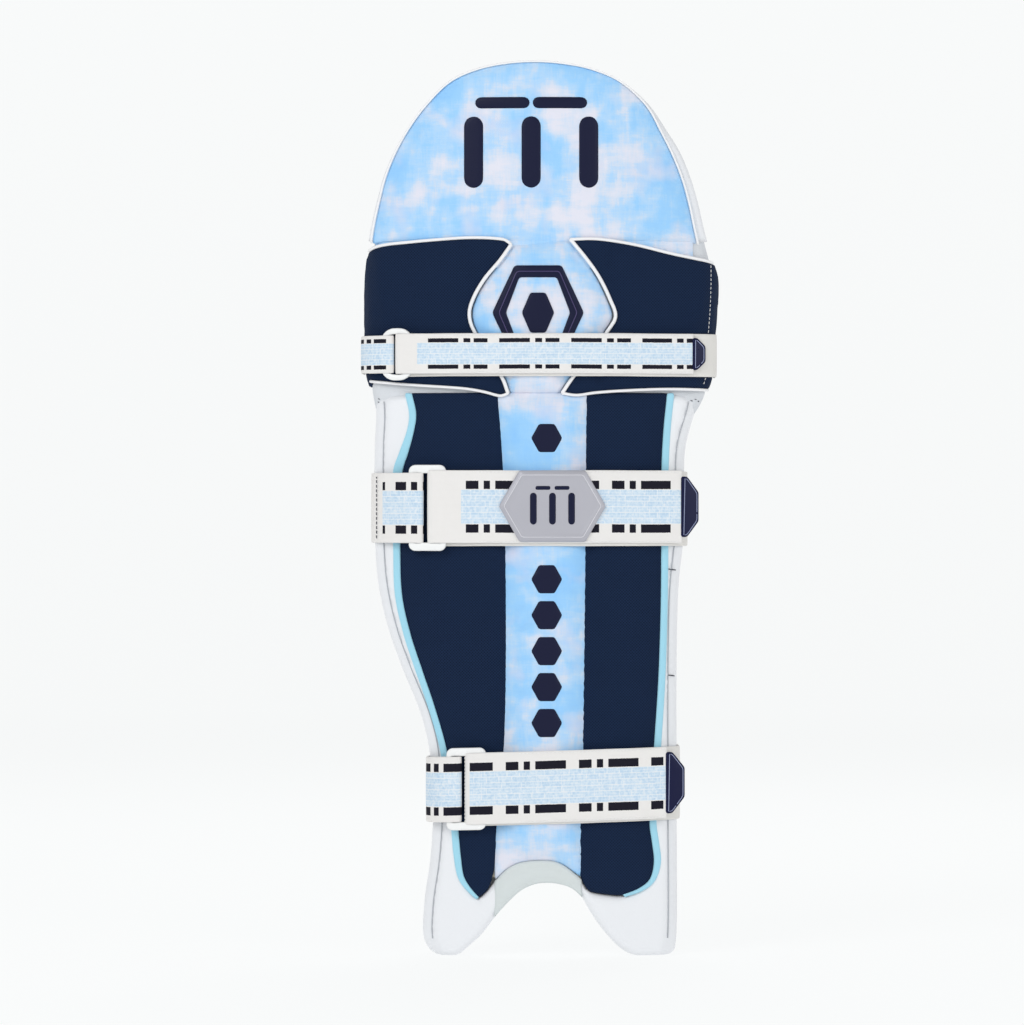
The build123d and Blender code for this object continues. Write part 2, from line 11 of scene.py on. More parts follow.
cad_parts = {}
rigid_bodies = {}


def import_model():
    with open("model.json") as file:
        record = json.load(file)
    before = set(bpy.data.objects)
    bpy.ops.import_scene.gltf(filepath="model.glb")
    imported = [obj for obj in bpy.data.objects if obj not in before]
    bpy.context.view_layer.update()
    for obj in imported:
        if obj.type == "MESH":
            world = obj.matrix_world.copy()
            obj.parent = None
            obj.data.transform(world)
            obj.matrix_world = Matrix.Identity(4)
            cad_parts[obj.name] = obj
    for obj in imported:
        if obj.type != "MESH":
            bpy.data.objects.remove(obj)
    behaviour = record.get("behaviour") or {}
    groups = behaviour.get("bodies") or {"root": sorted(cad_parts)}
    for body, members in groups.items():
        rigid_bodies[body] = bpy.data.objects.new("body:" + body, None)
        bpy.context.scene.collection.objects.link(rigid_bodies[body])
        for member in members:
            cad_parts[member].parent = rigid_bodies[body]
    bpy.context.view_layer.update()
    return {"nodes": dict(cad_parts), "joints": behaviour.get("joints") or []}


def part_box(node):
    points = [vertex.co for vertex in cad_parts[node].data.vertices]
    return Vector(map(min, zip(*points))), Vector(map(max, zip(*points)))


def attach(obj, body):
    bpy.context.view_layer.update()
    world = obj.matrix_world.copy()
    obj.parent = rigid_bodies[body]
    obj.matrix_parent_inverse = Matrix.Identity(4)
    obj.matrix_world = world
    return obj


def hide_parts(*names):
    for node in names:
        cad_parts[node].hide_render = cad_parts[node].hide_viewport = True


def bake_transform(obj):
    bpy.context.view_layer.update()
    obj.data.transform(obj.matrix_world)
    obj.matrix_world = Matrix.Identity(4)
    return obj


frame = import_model()

MM = 0.001
FRONT_RADIUS = 380.0
SPINE_PROUD = 5.0
CROWN_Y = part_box("shin_spine")[0].y / MM + SPINE_PROUD  # the front's crown line, at height 0
CROWN_CENTRE_Y = CROWN_Y + FRONT_RADIUS
CORNER_RADIUS = 17.0
LINING_DEPTH = 27.0  # of the leg side, behind the crown
KNEE_SEAM = 441.0
HAT_SEAM = 557.0
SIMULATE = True

# how cloth swells: how loose it is, the pressure behind it, and the most that it moves in millimetres
MESH_SWELL = (0.02, 1.2, 1.2)
SPINE_SWELL = (0.02, 1.5, 1.4)
FLAP_SWELL = (0.025, 1.2, 1.6)
FACE_SWELL = (0.012, 1.0, 1.2)
LINING_SWELL = (0.03, 1.4, 2.0)
BOLSTER_SWELL = (0.03, 1.6, 1.8)


# ---------------------------------------------------------------- shapes in the sheet's own plane

def smooth_run(points, step=2.0):
    """Points along a smooth curve through the given ones. Two points make a straight run."""
    pts = np.array(points, float)
    if len(pts) == 2:
        count = max(2, int(np.ceil(np.linalg.norm(pts[1] - pts[0]) / step)) + 1)
        return np.linspace(pts[0], pts[1], count)
    padded = np.vstack([2 * pts[0] - pts[1], pts, 2 * pts[-1] - pts[-2]])
    out = [pts[:1]]
    for i in range(1, len(padded) - 2):
        p0, p1, p2, p3 = padded[i - 1:i + 3]
        t0 = 0.0
        t1 = t0 + max(np.linalg.norm(p1 - p0), 1e-6) ** 0.5
        t2 = t1 + max(np.linalg.norm(p2 - p1), 1e-6) ** 0.5
        t3 = t2 + max(np.linalg.norm(p3 - p2), 1e-6) ** 0.5
        count = max(3, int(np.linalg.norm(p2 - p1) / step) + 1)
        t = np.linspace(t1, t2, count)[1:, None]
        a1 = (t1 - t) / (t1 - t0) * p0 + (t - t0) / (t1 - t0) * p1
        a2 = (t2 - t) / (t2 - t1) * p1 + (t - t1) / (t2 - t1) * p2
        a3 = (t3 - t) / (t3 - t2) * p2 + (t - t2) / (t3 - t2) * p3
        b1 = (t2 - t) / (t2 - t0) * a1 + (t - t0) / (t2 - t0) * a2
        b2 = (t3 - t) / (t3 - t1) * a2 + (t - t1) / (t3 - t1) * a3
        out.append((t2 - t) / (t2 - t1) * b1 + (t - t1) / (t2 - t1) * b2)
    return np.vstack(out)


def outline(*runs):
    """A closed outline from runs that meet at corners."""
    return np.vstack([smooth_run(run)[:-1] for run in runs])


def resample(line, spacing, closed):
    """Even points along a line."""
    pts = np.vstack([line, line[:1]]) if closed else line
    length = run_length(pts)
    count = max(3, int(round(length[-1] / spacing)))
    at = np.linspace(0, length[-1], count + 1)
    return np.column_stack([np.interp(at[:-1] if closed else at, length, pts[:, k])
                            for k in range(pts.shape[1])])


def run_length(points):
    """Length along a line up to each of its points."""
    return np.concatenate([[0], np.cumsum(np.linalg.norm(np.diff(points, axis=0), axis=1))])


def unit(vectors):
    return vectors / (np.linalg.norm(vectors, axis=-1, keepdims=True) + 1e-12)


def turned_left(directions):
    return np.column_stack([-directions[:, 1], directions[:, 0]])


def area_sign(loop):
    x, y = loop[:, 0], loop[:, 1]
    return np.sign(np.sum(x * np.roll(y, -1) - np.roll(x, -1) * y))


def inward_directions(loop):
    """Unit directions that point into a closed loop."""
    return turned_left(unit(np.roll(loop, -1, axis=0) - np.roll(loop, 1, axis=0))) * area_sign(loop)


def inside(points, loop):
    """Which points are inside a closed loop."""
    x, y = points.T
    hit = np.zeros(len(points), bool)
    for (xi, yi), (xj, yj) in zip(loop, np.roll(loop, 1, axis=0)):
        crosses = (yi > y) != (yj > y)
        if crosses.any():
            hit ^= crosses & (x < (xj - xi) * (y - yi) / (yj - yi + 1e-12) + xi)
    return hit


def in_region(points, loops):
    """Which points are inside the first loop and outside the others."""
    hit = inside(points, loops[0])
    for hole in loops[1:]:
        hit &= ~inside(points, hole)
    return hit


def edge_distance(points, loops):
    """Distance from each point to the nearest of some closed loops."""
    best = np.full(len(points), 1e9)
    batch = 2000
    for loop in loops:
        along = np.roll(loop, -1, axis=0) - loop
        length2 = (along ** 2).sum(1) + 1e-12
        for start in range(0, len(points), batch):
            part = slice(start, start + batch)
            off = points[part, None, :] - loop[None]
            t = np.clip((off * along).sum(2) / length2, 0, 1)
            gap = off - t[..., None] * along
            best[part] = np.minimum(best[part], np.sqrt((gap ** 2).sum(2)).min(1))
    return best


def triangulate(loops, spacing, rings):
    """An even triangle mesh of a flat region, denser near its edges: points, faces and edge distances."""
    bounds = [resample(loop, spacing, True) for loop in loops]
    extra, edges, offset = [], [], 0
    for k, loop in enumerate(bounds):
        for ring in rings:
            moved = loop + inward_directions(loop) * (1 if k == 0 else -1) * ring
            extra.append(moved[in_region(moved, bounds) & (edge_distance(moved, bounds) > ring * 0.93)])
        edges += [(offset + i, offset + (i + 1) % len(loop)) for i in range(len(loop))]
        offset += len(loop)
    low, high = bounds[0].min(0), bounds[0].max(0)
    grid = []
    for row, z in enumerate(np.arange(low[1], high[1], spacing * 0.866)):
        x = np.arange(low[0] + (row % 2) * spacing / 2, high[0], spacing)
        grid.append(np.column_stack([x, np.full_like(x, z)]))
    grid = np.vstack(grid)
    grid = grid[in_region(grid, bounds)]
    margin = max(rings) + spacing * 0.55
    grid = grid[edge_distance(grid, bounds) > margin]
    points = [Vector(p) for p in np.vstack([*bounds, *extra, grid])]
    verts, _, faces, *_ = geometry.delaunay_2d_cdt(points, edges, [], 1, 1e-4)
    flat = np.array([(v.x, v.y) for v in verts])
    tri = np.array([f for f in faces if len(f) == 3])
    tri = tri[in_region(flat[tri].mean(1), bounds)]
    a, b, c = flat[tri[:, 0]], flat[tri[:, 1]], flat[tri[:, 2]]
    turned_over = ((b[:, 0] - a[:, 0]) * (c[:, 1] - a[:, 1]) - (c[:, 0] - a[:, 0]) * (b[:, 1] - a[:, 1])) < 0
    tri[turned_over] = tri[turned_over][:, ::-1]
    return flat, tri, edge_distance(flat, bounds)


# ---------------------------------------------------------------- the pad's surface

def edge_curve(points):
    """X of a side edge as a function of height, smooth through the points."""
    line = smooth_run([(z, x) for x, z in points], 3.0)
    return lambda z: np.interp(z, line[:, 0], line[:, 1])


LEFT_SHIN = edge_curve([(-83, -2), (-91, 12), (-91, 40), (-86, 77), (-84, 114), (-87, 161), (-94, 190),
                        (-107, 222), (-119, 255), (-127, 290), (-130, 330), (-130, 400), (-129, 423),
                        (-131, 450)])
RIGHT_SHIN = edge_curve([(104, -2), (105.5, 20), (105.5, 120), (105.5, 230), (107, 290), (111, 330),
                         (112, 395), (115, 410), (121, 430), (124, 450)])
LEFT_KNEE = edge_curve([(-132, 435), (-134.5, 452), (-135.5, 480), (-135.5, 530), (-133.5, 557), (-130, 573)])
RIGHT_KNEE = edge_curve([(129, 435), (131.5, 452), (133, 480), (135.5, 510), (136, 535), (131, 557),
                         (126, 573)])


def side_corner(reach):
    """The rolled corner of a side edge: the angle where the front's arc ends, and the depth of its centre."""
    turn = np.arcsin((reach - CORNER_RADIUS) / (FRONT_RADIUS - CORNER_RADIUS))
    return turn, CROWN_CENTRE_Y - (FRONT_RADIUS - CORNER_RADIUS) * np.cos(turn)


def surface(s, z, height, edges):
    """A point of the pad's skin: s runs round it from the crown line, height stands off it. Millimetres."""
    s, z, height = np.broadcast_arrays(np.asarray(s, float), np.asarray(z, float), np.asarray(height, float))
    if edges is LEG:
        return np.stack([s, CROWN_Y + leg_depth(s) + height, z], -1)
    right = s >= 0
    reach = np.where(right, edges[1](z), -edges[0](z))
    run = np.abs(s)
    r, R = CORNER_RADIUS, FRONT_RADIUS
    turn, corner_y = side_corner(reach)
    front_length, corner_length = R * turn, r * (math.pi / 2 - turn)
    on_front = run <= front_length
    on_side = run > front_length + corner_length
    angle = np.where(on_front, run / R, turn + (run - front_length) / r)
    x = np.where(on_front, (R + height) * np.sin(angle), reach - r + (r + height) * np.sin(angle))
    y = np.where(on_front, CROWN_CENTRE_Y - (R + height) * np.cos(angle),
                 corner_y - (r + height) * np.cos(angle))
    x = np.where(on_side, reach + height, x)
    y = np.where(on_side, corner_y + run - front_length - corner_length, y)
    return np.stack([np.where(right, x, -x), y, z], -1)


def leg_depth(x):
    """Depth behind the crown of the pad's leg side at x."""
    return LINING_DEPTH + FRONT_RADIUS - np.sqrt(FRONT_RADIUS ** 2 - x ** 2)


def wrap(x, z, depth, edges):
    """s of the point at the given depth behind the crown on the side wall, on the side that x is on."""
    turn, corner_y = side_corner(edges[1](z) if x > 0 else -edges[0](z))
    s = FRONT_RADIUS * turn + CORNER_RADIUS * (math.pi / 2 - turn) + (CROWN_Y + depth - corner_y)
    return s if x > 0 else -s


def on_front(x):
    """s of a point of the front that is seen at x."""
    return FRONT_RADIUS * math.asin(x / FRONT_RADIUS)


def front_points(points):
    """(s, z) of points of the front that are seen at (x, z)."""
    return [(on_front(x), z) for x, z in points]


SHIN = (LEFT_SHIN, RIGHT_SHIN)
KNEE = (LEFT_KNEE, RIGHT_KNEE)
WIDE = (lambda z: -190.0 + 0 * z, lambda z: 190.0 + 0 * z)
LEG = "the curved leg side"
GUSSET_EDGES = (edge_curve([(-128, 404), (-129, 414), (-130.5, 421), (-133, 431), (-135, 442), (-136, 460)]),
                edge_curve([(112, 404), (115, 414), (121, 422), (127.5, 432), (131.5, 442), (132.5, 460)]))


# ---------------------------------------------------------------- meshes

def new_object(name, verts, faces, uv=None):
    """A smooth mesh object in metres from points in millimetres."""
    mesh = bpy.data.meshes.new(name)
    mesh.from_pydata((np.asarray(verts) * MM).tolist(), [], [list(map(int, f)) for f in faces])
    mesh.update()
    if uv is not None:
        layer = mesh.uv_layers.new(name="sheet")
        loops = np.zeros(len(mesh.loops), int)
        mesh.loops.foreach_get("vertex_index", loops)
        layer.data.foreach_set("uv", (np.asarray(uv)[loops] * MM).astype(np.float32).ravel())
    mesh.polygons.foreach_set("use_smooth", [True] * len(mesh.polygons))
    return linked(bpy.data.objects.new(name, mesh))


def linked(obj):
    bpy.context.scene.collection.objects.link(obj)
    return obj


def around(rows, count, closed=False):
    """Faces between neighbouring rings of points."""
    return [[i * count + k, i * count + (k + 1) % count, j * count + (k + 1) % count, j * count + k]
            for i in range(rows if closed else rows - 1) for j in ((i + 1) % rows,) for k in range(count)]


def capped(rows, count):
    """Faces of a closed skin through rings of points."""
    return around(rows, count) + [list(range(count))[::-1], [(rows - 1) * count + k for k in range(count)]]


def box_outline(half_width, half_height, corner, step):
    """A rectangle with round corners, as points at step degrees round each corner."""
    wide, high = half_width - corner, half_height - corner
    return [(cx + corner * math.cos(math.radians(a)), cz + corner * math.sin(math.radians(a)))
            for cx, cz, start in ((wide, high, 0), (-wide, high, 90), (-wide, -high, 180), (wide, -high, 270))
            for a in range(start, start + 91, step)]


SIM_SCALE = 10  # the simulation works on a larger sheet
SIM_FRAMES = 18


def inflate(tri, base, pinned, normals, loose, pressure, cap):
    """Cloth simulation of a sheet whose edge is held: it swells and puckers. Returns the moved points."""
    if (surface_normals(base, tri) * normals).sum() < 0:
        tri = tri[:, ::-1]
    obj = new_object("sim", base * SIM_SCALE, tri)
    group = obj.vertex_groups.new(name="held")
    group.add([int(i) for i in np.nonzero(pinned)[0]], 1.0, "REPLACE")
    cloth = obj.modifiers.new("Cloth", "CLOTH")
    settings = cloth.settings
    settings.quality = 4
    settings.mass = 0.3
    settings.tension_stiffness = settings.compression_stiffness = 12
    settings.shear_stiffness = 5
    settings.bending_stiffness = 0.4
    settings.vertex_group_mass = "held"
    settings.shrink_min = -loose
    settings.use_pressure = True
    settings.uniform_pressure_force = pressure
    settings.effector_weights.gravity = 0
    cloth.collision_settings.use_collision = False
    cloth.collision_settings.use_self_collision = False
    scene = bpy.context.scene
    for number in range(1, SIM_FRAMES + 1):
        scene.frame_set(number)
    result = obj.evaluated_get(bpy.context.evaluated_depsgraph_get())
    shape = result.to_mesh()
    moved = np.zeros(len(shape.vertices) * 3, np.float32)
    shape.vertices.foreach_get("co", moved)
    result.to_mesh_clear()
    bpy.data.objects.remove(obj)
    scene.frame_set(1)
    move = moved.reshape(-1, 3) / (MM * SIM_SCALE) - base
    move *= np.minimum(1, cap / np.maximum(np.linalg.norm(move, axis=1), 1e-9))[:, None]
    sunk = np.minimum((move * normals).sum(1), 0)
    return base + move - normals * sunk[:, None] * 0.6  # most of what sinks in is taken back


def surface_normals(verts, tri):
    face = np.cross(verts[tri[:, 1]] - verts[tri[:, 0]], verts[tri[:, 2]] - verts[tri[:, 0]])
    total = np.zeros_like(verts)
    for k in range(3):
        np.add.at(total, tri[:, k], face)
    return unit(total)


RAY_FROM, RAY_TO, RAY_REACH = 40.0, -30.0, 0.07  # heights over the skin, and the ray's length in metres


def standing_height(target, flat, edges):
    """Height over the skin of another piece's face at points of the sheet."""
    mesh = bmesh.new()
    mesh.from_mesh(target.data)
    tree = BVHTree.FromBMesh(mesh)
    far, near = (surface(flat[:, 0], flat[:, 1], height, edges) * MM for height in (RAY_FROM, RAY_TO))
    found = np.full(len(flat), np.nan)
    for i, (a, b) in enumerate(zip(far, near)):
        hit = tree.ray_cast(Vector(a), Vector(b - a).normalized(), RAY_REACH)
        if hit[0] is not None:
            found[i] = RAY_FROM - hit[3] / MM
    mesh.free()
    return np.where(np.isnan(found), np.nanmin(found), found)


def sheet_piece(name, loops, edges, top, back, rounding=2.0, puff=0.0, puff_width=12.0, spacing=4.0,
                relief=None, cloth=None, seams=(), seam_depth=1.5, seam_width=3.0, on=None):
    """A padded closed piece: a region of the skin with a swollen face, rolled edges and a flat back.

    top and back are heights over the skin, or over the piece that it lies on. cloth = (loose, pressure, cap)
    simulates the face, which stays held along its edge and its seams."""
    loops = [loops] if isinstance(loops, np.ndarray) else loops
    flat, tri, gap = triangulate(loops, spacing, [rounding * part for part in (0.12, 0.4, 0.85)])
    s, z = flat.T
    roll = np.minimum(gap, rounding) / rounding
    drop = rounding * (1 - np.sqrt(np.clip(1 - (1 - roll) ** 2, 0, 1)))
    height = top - drop + puff * (1 - np.exp(-(gap / puff_width) ** 1.3))
    held = gap < max(rounding * 0.5, 1e-3)
    if len(seams):
        lines = [resample(smooth_run(line), 2.0, False) for line in seams]
        near = edge_distance(flat, [np.vstack([line, line[::-1]]) for line in lines])
        height = height - seam_depth * np.exp(-(near / seam_width) ** 2) * np.clip(gap / (rounding + 1), 0, 1)
        held |= near < spacing * 0.55
    if relief is not None:
        height = height + relief(flat, gap)
    under = standing_height(on, flat, edges) if on is not None else 0.0
    face = surface(s, z, height + under, edges)
    if SIMULATE and cloth:
        outward = surface(s, z, height + 1, edges) - surface(s, z, height, edges)
        face = inflate(tri, face, held, outward, *cloth)
    low = np.minimum(back + np.minimum(drop, abs(top - back) * 0.4), height - 0.2) + under
    # a rim joins the two faces along every border edge, and the weave runs on over it
    keys = {(a, b) for a, b in np.vstack([tri[:, [0, 1]], tri[:, [1, 2]], tri[:, [2, 0]]]).tolist()}
    count = len(flat)
    faces = tri.tolist() + (tri[:, ::-1] + count).tolist()
    faces += [[b, a, a + count, b + count] for a, b in keys if (b, a) not in keys]
    uv = np.vstack([flat, flat + np.array([top - back, 0.0])])
    return fix_normals(new_object(name, np.vstack([face, surface(s, z, low, edges)]), faces, uv))


def fix_normals(obj):
    mesh = bmesh.new()
    mesh.from_mesh(obj.data)
    bmesh.ops.recalc_face_normals(mesh, faces=mesh.faces)
    mesh.to_mesh(obj.data)
    mesh.free()
    return obj


def tube(name, path, radius, sides=8, closed=False):
    """A round cord along a path of points in millimetres, capped at its ends."""
    path = np.asarray(path, float)
    tangent = unit(np.roll(path, -1, 0) - np.roll(path, 1, 0) if closed else np.gradient(path, axis=0))
    side = unit(np.cross(tangent, [0.0, -1.0, 0.0]))
    up = np.cross(side, tangent)
    angles = np.linspace(0, 2 * np.pi, sides, endpoint=False)
    cos, sin = np.cos(angles)[:, None], np.sin(angles)[:, None]
    rings = path[:, None] + radius * (cos * side[:, None] + sin * up[:, None])
    rows = len(path)
    verts, faces = rings.reshape(-1, 3), around(rows, sides, closed)
    if not closed:
        verts = np.vstack([verts, path[0] - tangent[0] * radius * 0.5, path[-1] + tangent[-1] * radius * 0.5])
        tip = rows * sides
        for k in range(sides):
            m = (k + 1) % sides
            faces += [[m, k, tip], [tip - sides + k, tip - sides + m, tip + 1]]
    uv = np.column_stack([np.repeat(run_length(path), sides),
                          np.tile(angles / (2 * np.pi) * radius * 6, rows)])
    uv = np.vstack([uv, np.zeros((len(verts) - len(uv), 2))])
    return fix_normals(new_object(name, verts, faces, uv))


def join(name, objects):
    """One object from several."""
    mesh = bmesh.new()
    merged = bpy.data.meshes.new(name)
    for obj in objects:
        mesh.from_mesh(obj.data)
        bpy.data.objects.remove(obj)
    mesh.to_mesh(merged)
    mesh.free()
    return linked(bpy.data.objects.new(name, merged))


STITCH_SIDES = 5
STITCH_RISE, STITCH_FAT = (-0.15, 0.12, 0.12, -0.15), (0.35, 1, 1, 0.35)  # its ends go down into the cloth


def stitches(name, lines, length=2.2, pitch=3.2, radius=0.28):
    """Separate thread stitches along lines of (points, outward normals)."""
    verts, faces = [], []
    angles = [2 * math.pi * k / STITCH_SIDES for k in range(STITCH_SIDES)]
    for points, outward in lines:
        run = run_length(points)

        def part_way(values, at):
            return np.array([np.interp(at, run, values[:, k]) for k in range(3)])

        for at in np.arange(pitch / 2, run[-1], pitch):
            ends = [part_way(points, at + d) for d in (-length / 2, -length / 3, length / 3, length / 2)]
            out = unit(part_way(outward, at))
            side = np.cross(unit(ends[-1] - ends[0]), out)
            faces += [[len(verts) + corner for corner in face] for face in capped(4, STITCH_SIDES)]
            for point, rise, fat in zip(ends, STITCH_RISE, STITCH_FAT):
                verts += [point + out * rise + radius * fat * (math.cos(a) * side + math.sin(a) * out)
                          for a in angles]
    return fix_normals(new_object(name, verts, faces, np.zeros((len(verts), 2))))


def standing(s, z, height, edges):
    """Points over the skin and the directions that stand off it."""
    at = surface(s, z, height, edges)
    return at, surface(s, z, height + 1.0, edges) - at


def skin_line(points, height, edges, step=2.0):
    """A line drawn on the skin: its points and the directions that stand off it."""
    return standing(*smooth_run(points, step).T, height, edges)


# ---------------------------------------------------------------- materials

class Look:
    """A material with one principled shader, and short ways to add nodes to it."""

    def __init__(self, name):
        self.mat = bpy.data.materials.new(name)
        self.mat.use_nodes = True
        self.tree = self.mat.node_tree
        self.tree.nodes.clear()
        self.shader = self.node("ShaderNodeBsdfPrincipled")
        self.link(self.shader.outputs[0], self.node("ShaderNodeOutputMaterial").inputs[0])

    def node(self, kind, values=(), **settings):
        """A node with its settings, and values or links for its inputs."""
        node = self.tree.nodes.new(kind)
        for key, value in settings.items():
            setattr(node, key, value)
        for key, value in dict(values).items():
            self.link(value, node.inputs[key])
        return node

    def link(self, source, target):
        if hasattr(source, "is_output"):
            self.tree.links.new(source, target)
        else:
            target.default_value = source

    def math(self, operation, a, b=0.0, clamp=False):
        return self.node("ShaderNodeMath", {0: a, 1: b}, operation=operation, use_clamp=clamp).outputs[0]

    def times(self, a, b, clamp=False):
        return self.math("MULTIPLY", a, b, clamp)

    def plus(self, a, b):
        return self.math("ADD", a, b)

    def minus(self, a, b, clamp=False):
        return self.math("SUBTRACT", a, b, clamp)

    def between(self, value, low, high):
        """1 where the value is between two limits."""
        return self.times(self.math("GREATER_THAN", value, low), self.math("LESS_THAN", value, high))

    def sheet(self):
        """u and v of the sheet in millimetres."""
        split = self.node("ShaderNodeSeparateXYZ",
                          {0: self.node("ShaderNodeUVMap", uv_map="sheet").outputs[0]})
        return self.times(split.outputs[0], 1000), self.times(split.outputs[1], 1000)

    def noise(self, scale, detail=3.0, roughness=0.5, distortion=0.0, stretch=(1, 1, 1)):
        values = {"Vector": self.place(stretch), "Scale": scale, "Detail": detail, "Roughness": roughness,
                  "Distortion": distortion}
        return self.node("ShaderNodeTexNoise", values).outputs["Fac"]

    def place(self, stretch=(1, 1, 1)):
        coord = self.node("ShaderNodeTexCoord").outputs["Object"]
        return self.node("ShaderNodeMapping", {0: coord, "Scale": stretch}).outputs[0]

    def ramp(self, value, stops):
        node = self.node("ShaderNodeValToRGB", {0: value})
        while len(node.color_ramp.elements) < len(stops):
            node.color_ramp.elements.new(0.5)
        for element, (at, colour) in zip(node.color_ramp.elements, stops):
            element.position = at
            element.color = (*colour, 1)
        return node.outputs[0]

    def mix(self, factor, a, b):
        a, b = ((*colour, 1) if isinstance(colour, tuple) else colour for colour in (a, b))
        return self.node("ShaderNodeMix", {0: factor, 6: a, 7: b}, data_type="RGBA",
                         blend_type="MIX").outputs[2]

    def tinted(self, colour, *tints):
        """The colour with others mixed in, each by its share of a pattern."""
        for pattern, share, tint in tints:
            colour = self.mix(self.times(pattern, share), colour, tint)
        return colour

    def wave(self, value, pitch):
        """A smooth wave between 0 and 1."""
        return self.plus(self.times(self.math("SINE", self.times(value, 2 * math.pi / pitch)), 0.5), 0.5)

    def weave(self, u, v, pitch):
        """A plain weave: threads go over and under each other."""
        across, along = (self.minus(self.wave(value, pitch), 0.5) for value in (u, v))
        return self.plus(self.times(self.times(across, along), 2.0), 0.5)

    def finish(self, colour, roughness, gloss, sheen=0.0, metallic=0.0):
        self.link(colour, self.shader.inputs["Base Color"])
        self.link(roughness, self.shader.inputs["Roughness"])
        self.shader.inputs["Metallic"].default_value = metallic
        self.shader.inputs["Specular IOR Level"].default_value = gloss
        self.shader.inputs["Sheen Weight"].default_value = sheen

    def bump(self, height, strength, distance):
        values = {"Height": height, "Strength": strength, "Distance": distance}
        self.link(self.node("ShaderNodeBump", values).outputs[0], self.shader.inputs["Normal"])
        return self.mat


def rgb(red, green, blue):
    """A linear colour from a screen colour of 0 to 255."""
    def channel(v):
        v /= 255
        return v / 12.92 if v <= 0.04045 else ((v + 0.055) / 1.055) ** 2.4
    return (channel(red), channel(green), channel(blue))


def darker(tone, part):
    return tuple(channel * part for channel in tone)


def mesh_fabric():
    """Navy mesh: holes on a diagonal grid over a fine weave, painted darker inside as painted shade."""
    look = Look("navy_mesh")
    u, v = look.sheet()
    hole_pitch = 2.3
    shaded_holes = look.times(look.wave(look.plus(u, v), hole_pitch), look.wave(look.minus(u, v), hole_pitch))
    fine = look.weave(u, v, 0.55)
    # the holes take the near-black colour: painted shade in the recessed holes
    base = look.mix(look.times(shaded_holes, 1.3, True), rgb(26, 43, 72), rgb(8, 15, 29))
    base = look.tinted(base, (fine, 0.3, rgb(31, 48, 78)), (look.noise(55, 4, 0.6), 0.25, rgb(14, 28, 50)))
    look.finish(base, 0.8, 0.06, 0.02)
    return look.bump(look.minus(look.times(fine, 0.35), shaded_holes), 0.6, 0.0005)


def tie_dye():
    """Canvas with soft clouds of blue dye, which ran along the threads both ways."""
    look = Look("sky_canvas")

    def drawn_out(x_scale, z_scale, detail):
        return look.noise(1.0, detail, 0.55, 0.15, (x_scale, 40, z_scale))

    threads = look.plus(drawn_out(90, 900, 2), drawn_out(900, 90, 2))
    amount = look.plus(look.times(look.noise(17, 3, 0.5, 0.25), 0.56),
                       look.times(drawn_out(34, 105, 4), 0.22))
    amount = look.plus(amount, look.times(drawn_out(105, 34, 4), 0.22))
    amount = look.plus(amount, look.times(look.minus(threads, 1.0), 0.05))
    colour = look.ramp(amount,
                       [(0.38, rgb(224, 224, 235)), (0.435, rgb(208, 219, 236)), (0.48, rgb(178, 212, 243)),
                                (0.54, rgb(156, 205, 246)), (0.66, rgb(142, 198, 248))])
    blush = look.minus(look.noise(30), 0.55, True)
    colour = look.mix(look.times(blush, 3.0, True), colour, rgb(222, 216, 230))
    thread = look.weave(*look.sheet(), 0.75)
    look.finish(look.tinted(colour, (thread, 0.08, rgb(120, 175, 220))), 0.75, 0.15, 0.04)
    return look.bump(thread, 0.4, 0.00028)


def leather(name, tone, grime_and_crease_shade=0.1, roughness=0.42, grain=900, gloss=0.3):
    """Coated fabric with a fine pebble grain and faint creases, darker in random patches and darker along the
    creases as painted shade.
    """
    look = Look(name)
    pebble = look.node("ShaderNodeTexVoronoi", {"Vector": look.place(), "Scale": grain}).outputs["Distance"]
    crease = look.noise(90, 5, 0.6, 1.2)
    # random darker patches, then painted shade: darkening along the creases
    colour = look.tinted(tone, (look.noise(22, 4, 0.55), grime_and_crease_shade, darker(tone, 0.82)),
                         (crease, grime_and_crease_shade * 0.6, darker(tone, 0.9)))
    look.finish(colour, look.plus(look.times(crease, 0.16), roughness - 0.08), gloss)
    return look.bump(look.plus(look.times(pebble, 0.6), look.times(crease, 0.9)), 0.3, 0.0004)


def woven(name, tone, dark, pitch=1.1, strength=0.5, roughness=0.8):
    """Plain cloth: a visible weave of one colour."""
    look = Look(name)
    thread = look.weave(*look.sheet(), pitch)
    colour = look.tinted(tone, (thread, 0.35, dark), (look.noise(35, 4, 0.6), 0.18, dark))
    look.finish(colour, roughness, 0.12, 0.05)
    return look.bump(thread, strength, 0.0003)


def plastic(name, tone, roughness=0.3, texture=0.15, gloss=0.4):
    look = Look(name)
    soft = look.noise(60)
    look.finish(look.tinted(tone, (soft, 0.12, darker(tone, 0.8))),
                look.plus(look.times(soft, 0.15), roughness - 0.07), gloss)
    return look.bump(look.noise(900, 3, 0.6), texture, 0.0001)


def silver():
    """Matt silver plastic with a fine grain."""
    look = Look("badge_silver")
    grain = look.noise(1600, 3, 0.6)
    colour = look.tinted(rgb(176, 176, 184), (look.noise(45), 0.4, rgb(160, 160, 170)),
                         (grain, 0.25, rgb(190, 190, 198)))
    look.finish(colour, look.plus(look.times(grain, 0.2), 0.36), 0.3, metallic=0.3)
    return look.bump(grain, 0.2, 0.0002)


